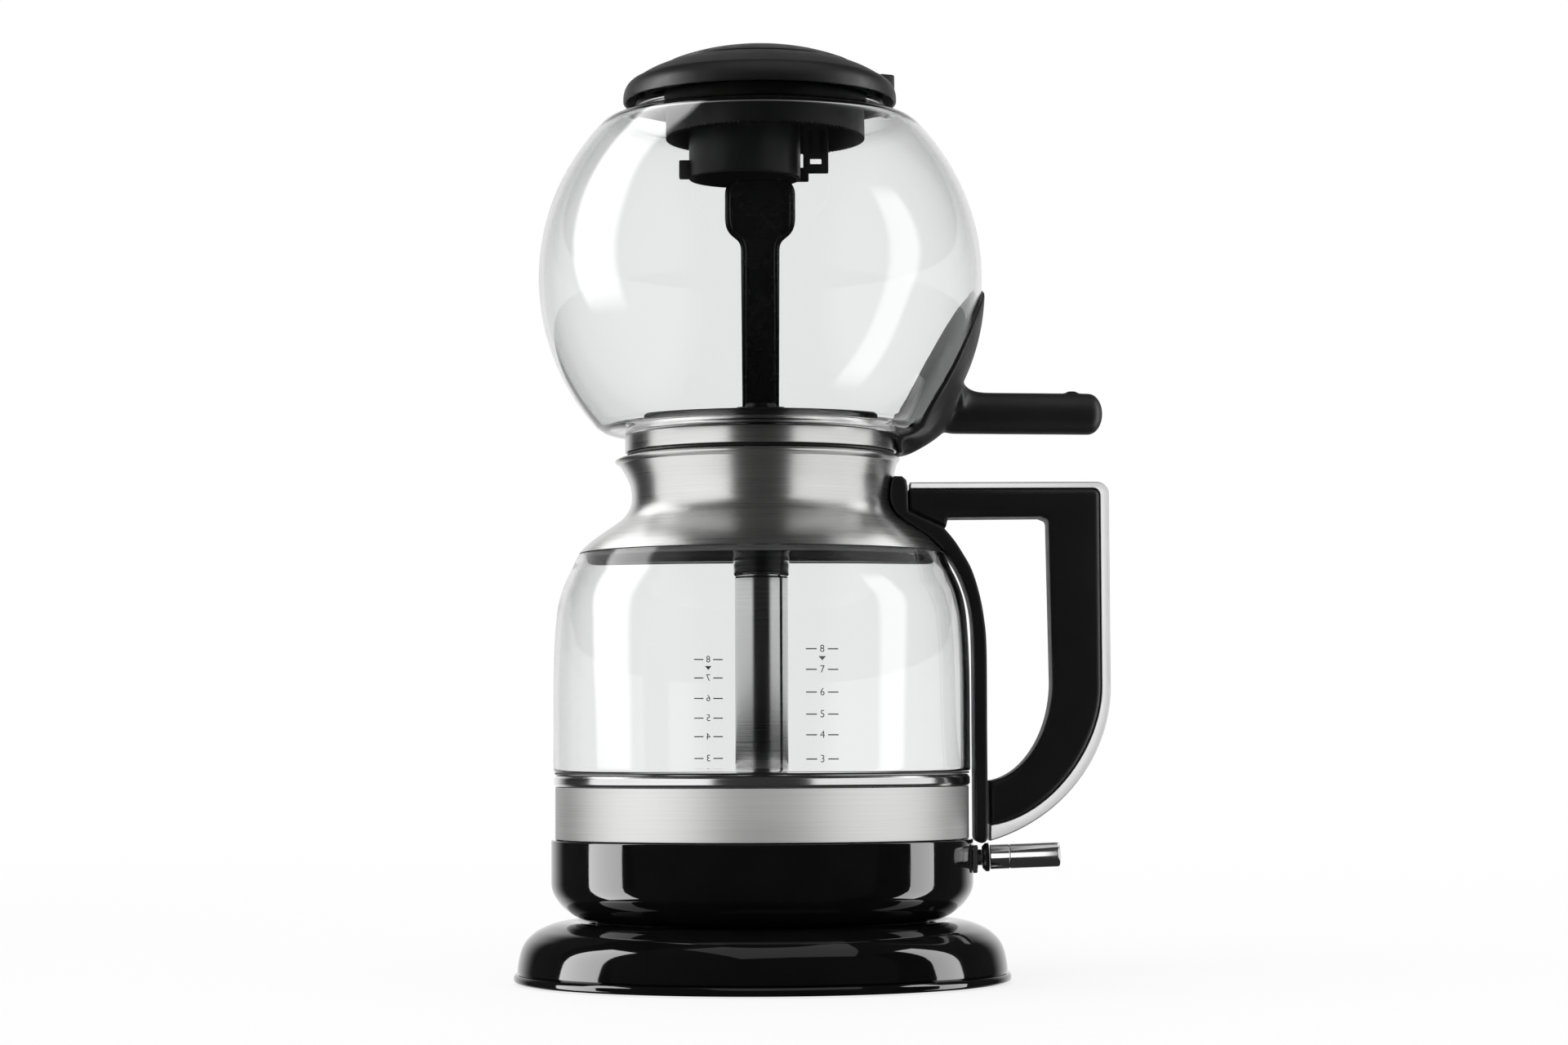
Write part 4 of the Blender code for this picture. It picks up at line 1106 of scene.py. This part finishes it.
def sort_receivers():
    """Steel, glass and the rest each have their own lights, and so do two of the steels."""
    groups = {kind: bpy.data.collections.new(kind + "_receivers")
              for kind in ("steel", "bright", "band", "glass", "other")}
    for piece in bpy.context.scene.objects:
        if piece.type == "MESH" and "look" in piece:
            look = piece["look"]
            kind = "steel" if look in STEEL_LOOKS else "glass" if look == "glass" else "other"
            groups[kind].objects.link(piece)
            if look in BRIGHT_LOOKS:
                groups["bright"].objects.link(piece)
            if look == "brushed_band":
                groups["band"].objects.link(piece)
    return groups


# Where the reflected studio's pale walls start and end, as shares of a unit direction, and
# the brightness on either side. x is across the camera's view and y points away from it.
BACKDROP_FADE = (0.72, 0.95, 0.0, 0.9)
BACKDROP_BASE = 0.03
INNER_SIDE_FADE = (0.47, 0.75, 0.02, 0.85)
INNER_BACK_FADE = (0.3, 0.8, 0.0, 0.85)
SEEN_THROUGH_FADE = (0.78, 0.965, 0.42, 1.0)


def make_world():
    """White behind the object, and a dark studio with a pale backdrop in its reflections."""
    world = bpy.data.worlds.new("studio")
    bpy.context.scene.world = world
    world.use_nodes = True
    tree = world.node_tree
    tree.nodes.clear()

    def add(kind, **settings):
        node = tree.nodes.new(kind)
        for key, value in settings.items():
            setattr(node, key, value)
        return node

    def join(node, sockets, values):
        for socket, value in zip(sockets, values):
            if isinstance(value, (int, float)):
                socket.default_value = value
            else:
                tree.links.new(value, socket)
        return node

    def combine(operation, a, b):
        node = add("ShaderNodeMath", operation=operation)
        return join(node, node.inputs, (a, b)).outputs["Value"]

    def step(value, low, high, out_low, out_high):
        node = add("ShaderNodeMapRange", interpolation_type="SMOOTHSTEP")
        sockets = [node.inputs[key] for key in ("Value", "From Min", "From Max", "To Min", "To Max")]
        return join(node, sockets, (value, low, high, out_low, out_high)).outputs["Result"]

    def choose(factor, first, second):
        node = add("ShaderNodeMix", data_type="FLOAT")
        sockets = (node.inputs[0], node.inputs[2], node.inputs[3])
        return join(node, sockets, (factor, first, second)).outputs[0]

    where = add("ShaderNodeTexCoord")
    split = add("ShaderNodeSeparateXYZ")
    tree.links.new(where.outputs["Generated"], split.inputs["Vector"])
    x, y = split.outputs[:2]
    across = combine("ABSOLUTE", x, 0)
    backdrop = combine("ADD", step(y, *BACKDROP_FADE), BACKDROP_BASE)
    inner = combine("MAXIMUM", step(across, *INNER_SIDE_FADE), step(y, *INNER_BACK_FADE))
    seen_through = step(y, *SEEN_THROUGH_FADE)
    path = add("ShaderNodeLightPath")
    through = combine("MINIMUM", path.outputs["Transmission Depth"], 1.0)
    depth = combine("ADD", path.outputs["Glossy Depth"], path.outputs["Diffuse Depth"])
    bounced = combine("MINIMUM", depth, 1.0)
    strength = choose(bounced, choose(through, 1.0, seen_through), choose(through, backdrop, inner))
    background = add("ShaderNodeBackground")
    background.inputs["Color"].default_value = (1, 1, 1, 1)
    tree.links.new(strength, background.inputs["Strength"])
    output = add("ShaderNodeOutputWorld")
    tree.links.new(background.outputs[0], output.inputs["Surface"])


FLOOR_GLOW = 0.65
FLOOR_EMISSION = 1.25
FLOOR_SUN = 1.8


def make_floor():
    """A pale floor that blends into the white background and holds a soft contact shadow."""
    mesh = bpy.data.meshes.new("floor")
    size = 12.0
    mesh.from_pydata([(-size, -size, 0), (size, -size, 0), (size, size, 0), (-size, size, 0)],
                     [], [(0, 1, 2, 3)])
    floor = new_piece("floor", mesh)
    floor.visible_glossy = False
    material = bpy.data.materials.new("pale_floor")
    material.use_nodes = True
    tree = material.node_tree
    shader = tree.nodes["Principled BSDF"]
    shader.inputs["Base Color"].default_value = (0.86, 0.86, 0.86, 1)
    shader.inputs["Roughness"].default_value = 0.9
    emission = tree.nodes.new("ShaderNodeEmission")
    emission.inputs["Color"].default_value = (1, 1, 1, 1)
    emission.inputs["Strength"].default_value = FLOOR_EMISSION
    path = tree.nodes.new("ShaderNodeLightPath")
    share = tree.nodes.new("ShaderNodeMapRange")
    share.inputs["To Min"].default_value = FLOOR_GLOW
    share.inputs["To Max"].default_value = 0.0
    tree.links.new(path.outputs["Diffuse Depth"], share.inputs["Value"])
    mix = tree.nodes.new("ShaderNodeMixShader")
    tree.links.new(share.outputs[0], mix.inputs[0])
    tree.links.new(shader.outputs[0], mix.inputs[1])
    tree.links.new(emission.outputs[0], mix.inputs[2])
    reflected = tree.nodes.new("ShaderNodeMapRange")
    tree.links.new(path.outputs["Glossy Depth"], reflected.inputs["Value"])
    unlit = tree.nodes.new("ShaderNodeMixShader")
    tree.links.new(reflected.outputs[0], unlit.inputs[0])
    tree.links.new(mix.outputs[0], unlit.inputs[1])
    tree.links.new(unlit.outputs[0], tree.nodes["Material Output"].inputs["Surface"])
    mesh.materials.append(material)
    receivers = bpy.data.collections.new("floor_receivers")
    receivers.objects.link(floor)
    sun = bpy.data.lights.new("floor_sun", "SUN")
    sun.energy = FLOOR_SUN
    sun.angle = math.radians(100)
    place_light("floor_sun", sun, Vector((-0.6, -0.5, 2.2)), receivers)


# Name, azimuth, distance, height, size, radiance and the group of pieces that it lights.
SOFT_BOXES = [
    ("left_box", -90, 0.85, 0.24, (0.38, 1.5), 8.0, "other"),
    ("right_box", 92, 0.85, 0.24, (0.27, 1.5), 6.0, "other"),
    ("top_box", 20, 0.5, 1.5, (1.4, 1.4), 0.6, "other"),
    ("steel_left", -66, 0.9, 0.3, (1.5, 1.6), 1.15, "steel"),
    ("steel_top_left", -128, 0.85, 1.15, (0.9, 1.0), 1.725, "steel"),
    ("steel_right", 66, 0.9, 0.3, (1.5, 1.6), 1.0, "steel"),
    ("steel_top_right", 128, 0.85, 1.15, (0.9, 1.0), 1.5, "steel"),
    ("bright_front", 0, 1.2, 0.3, (0.7, 0.9), 1.5, "bright"),
    ("band_front", 5, 1.2, 0.3, (0.7, 0.9), 0.46, "band"),
]


def make_studio():
    lit = sort_receivers()
    make_world()
    make_floor()
    for name, azimuth, distance, height, size, radiance, kind in SOFT_BOXES:
        softbox(name, azimuth, distance, height, size, radiance, lit[kind])
    glow_panel("glass_left",
               [(-0.90, -0.32, -0.27), (-0.95, -0.24, 0.21), (-0.85, -0.18, 0.50),
                (-0.67, -0.05, 0.74), (-0.39, 0.07, 0.92), (-0.21, 0.30, 0.93)],
               [(-0.97, 0.16, -0.18), (-0.90, 0.38, 0.20), (-0.81, 0.44, 0.39),
                (-0.68, 0.48, 0.56), (-0.51, 0.53, 0.68), (-0.34, 0.63, 0.69)],
               5.2, lit["glass"], (0.14, 0.10))
    glow_panel("glass_right",
               [(0.70, -0.34, 0.62), (0.89, -0.40, 0.21), (0.84, -0.46, -0.30), (0.43, -0.31, -0.84)],
               [(0.81, -0.08, 0.57), (0.98, 0.02, 0.21), (0.96, -0.14, -0.24), (0.65, -0.08, -0.76)],
               4.0, lit["glass"], (0.22, 0.14))


build_base()
build_drum()
build_lower_glass()
build_neck()
build_handle()
build_lever()
build_globe()
build_brew_parts()
build_brew_handle()
build_filter()
build_lid()
build_scale()
finish_kept_nodes()
make_studio()
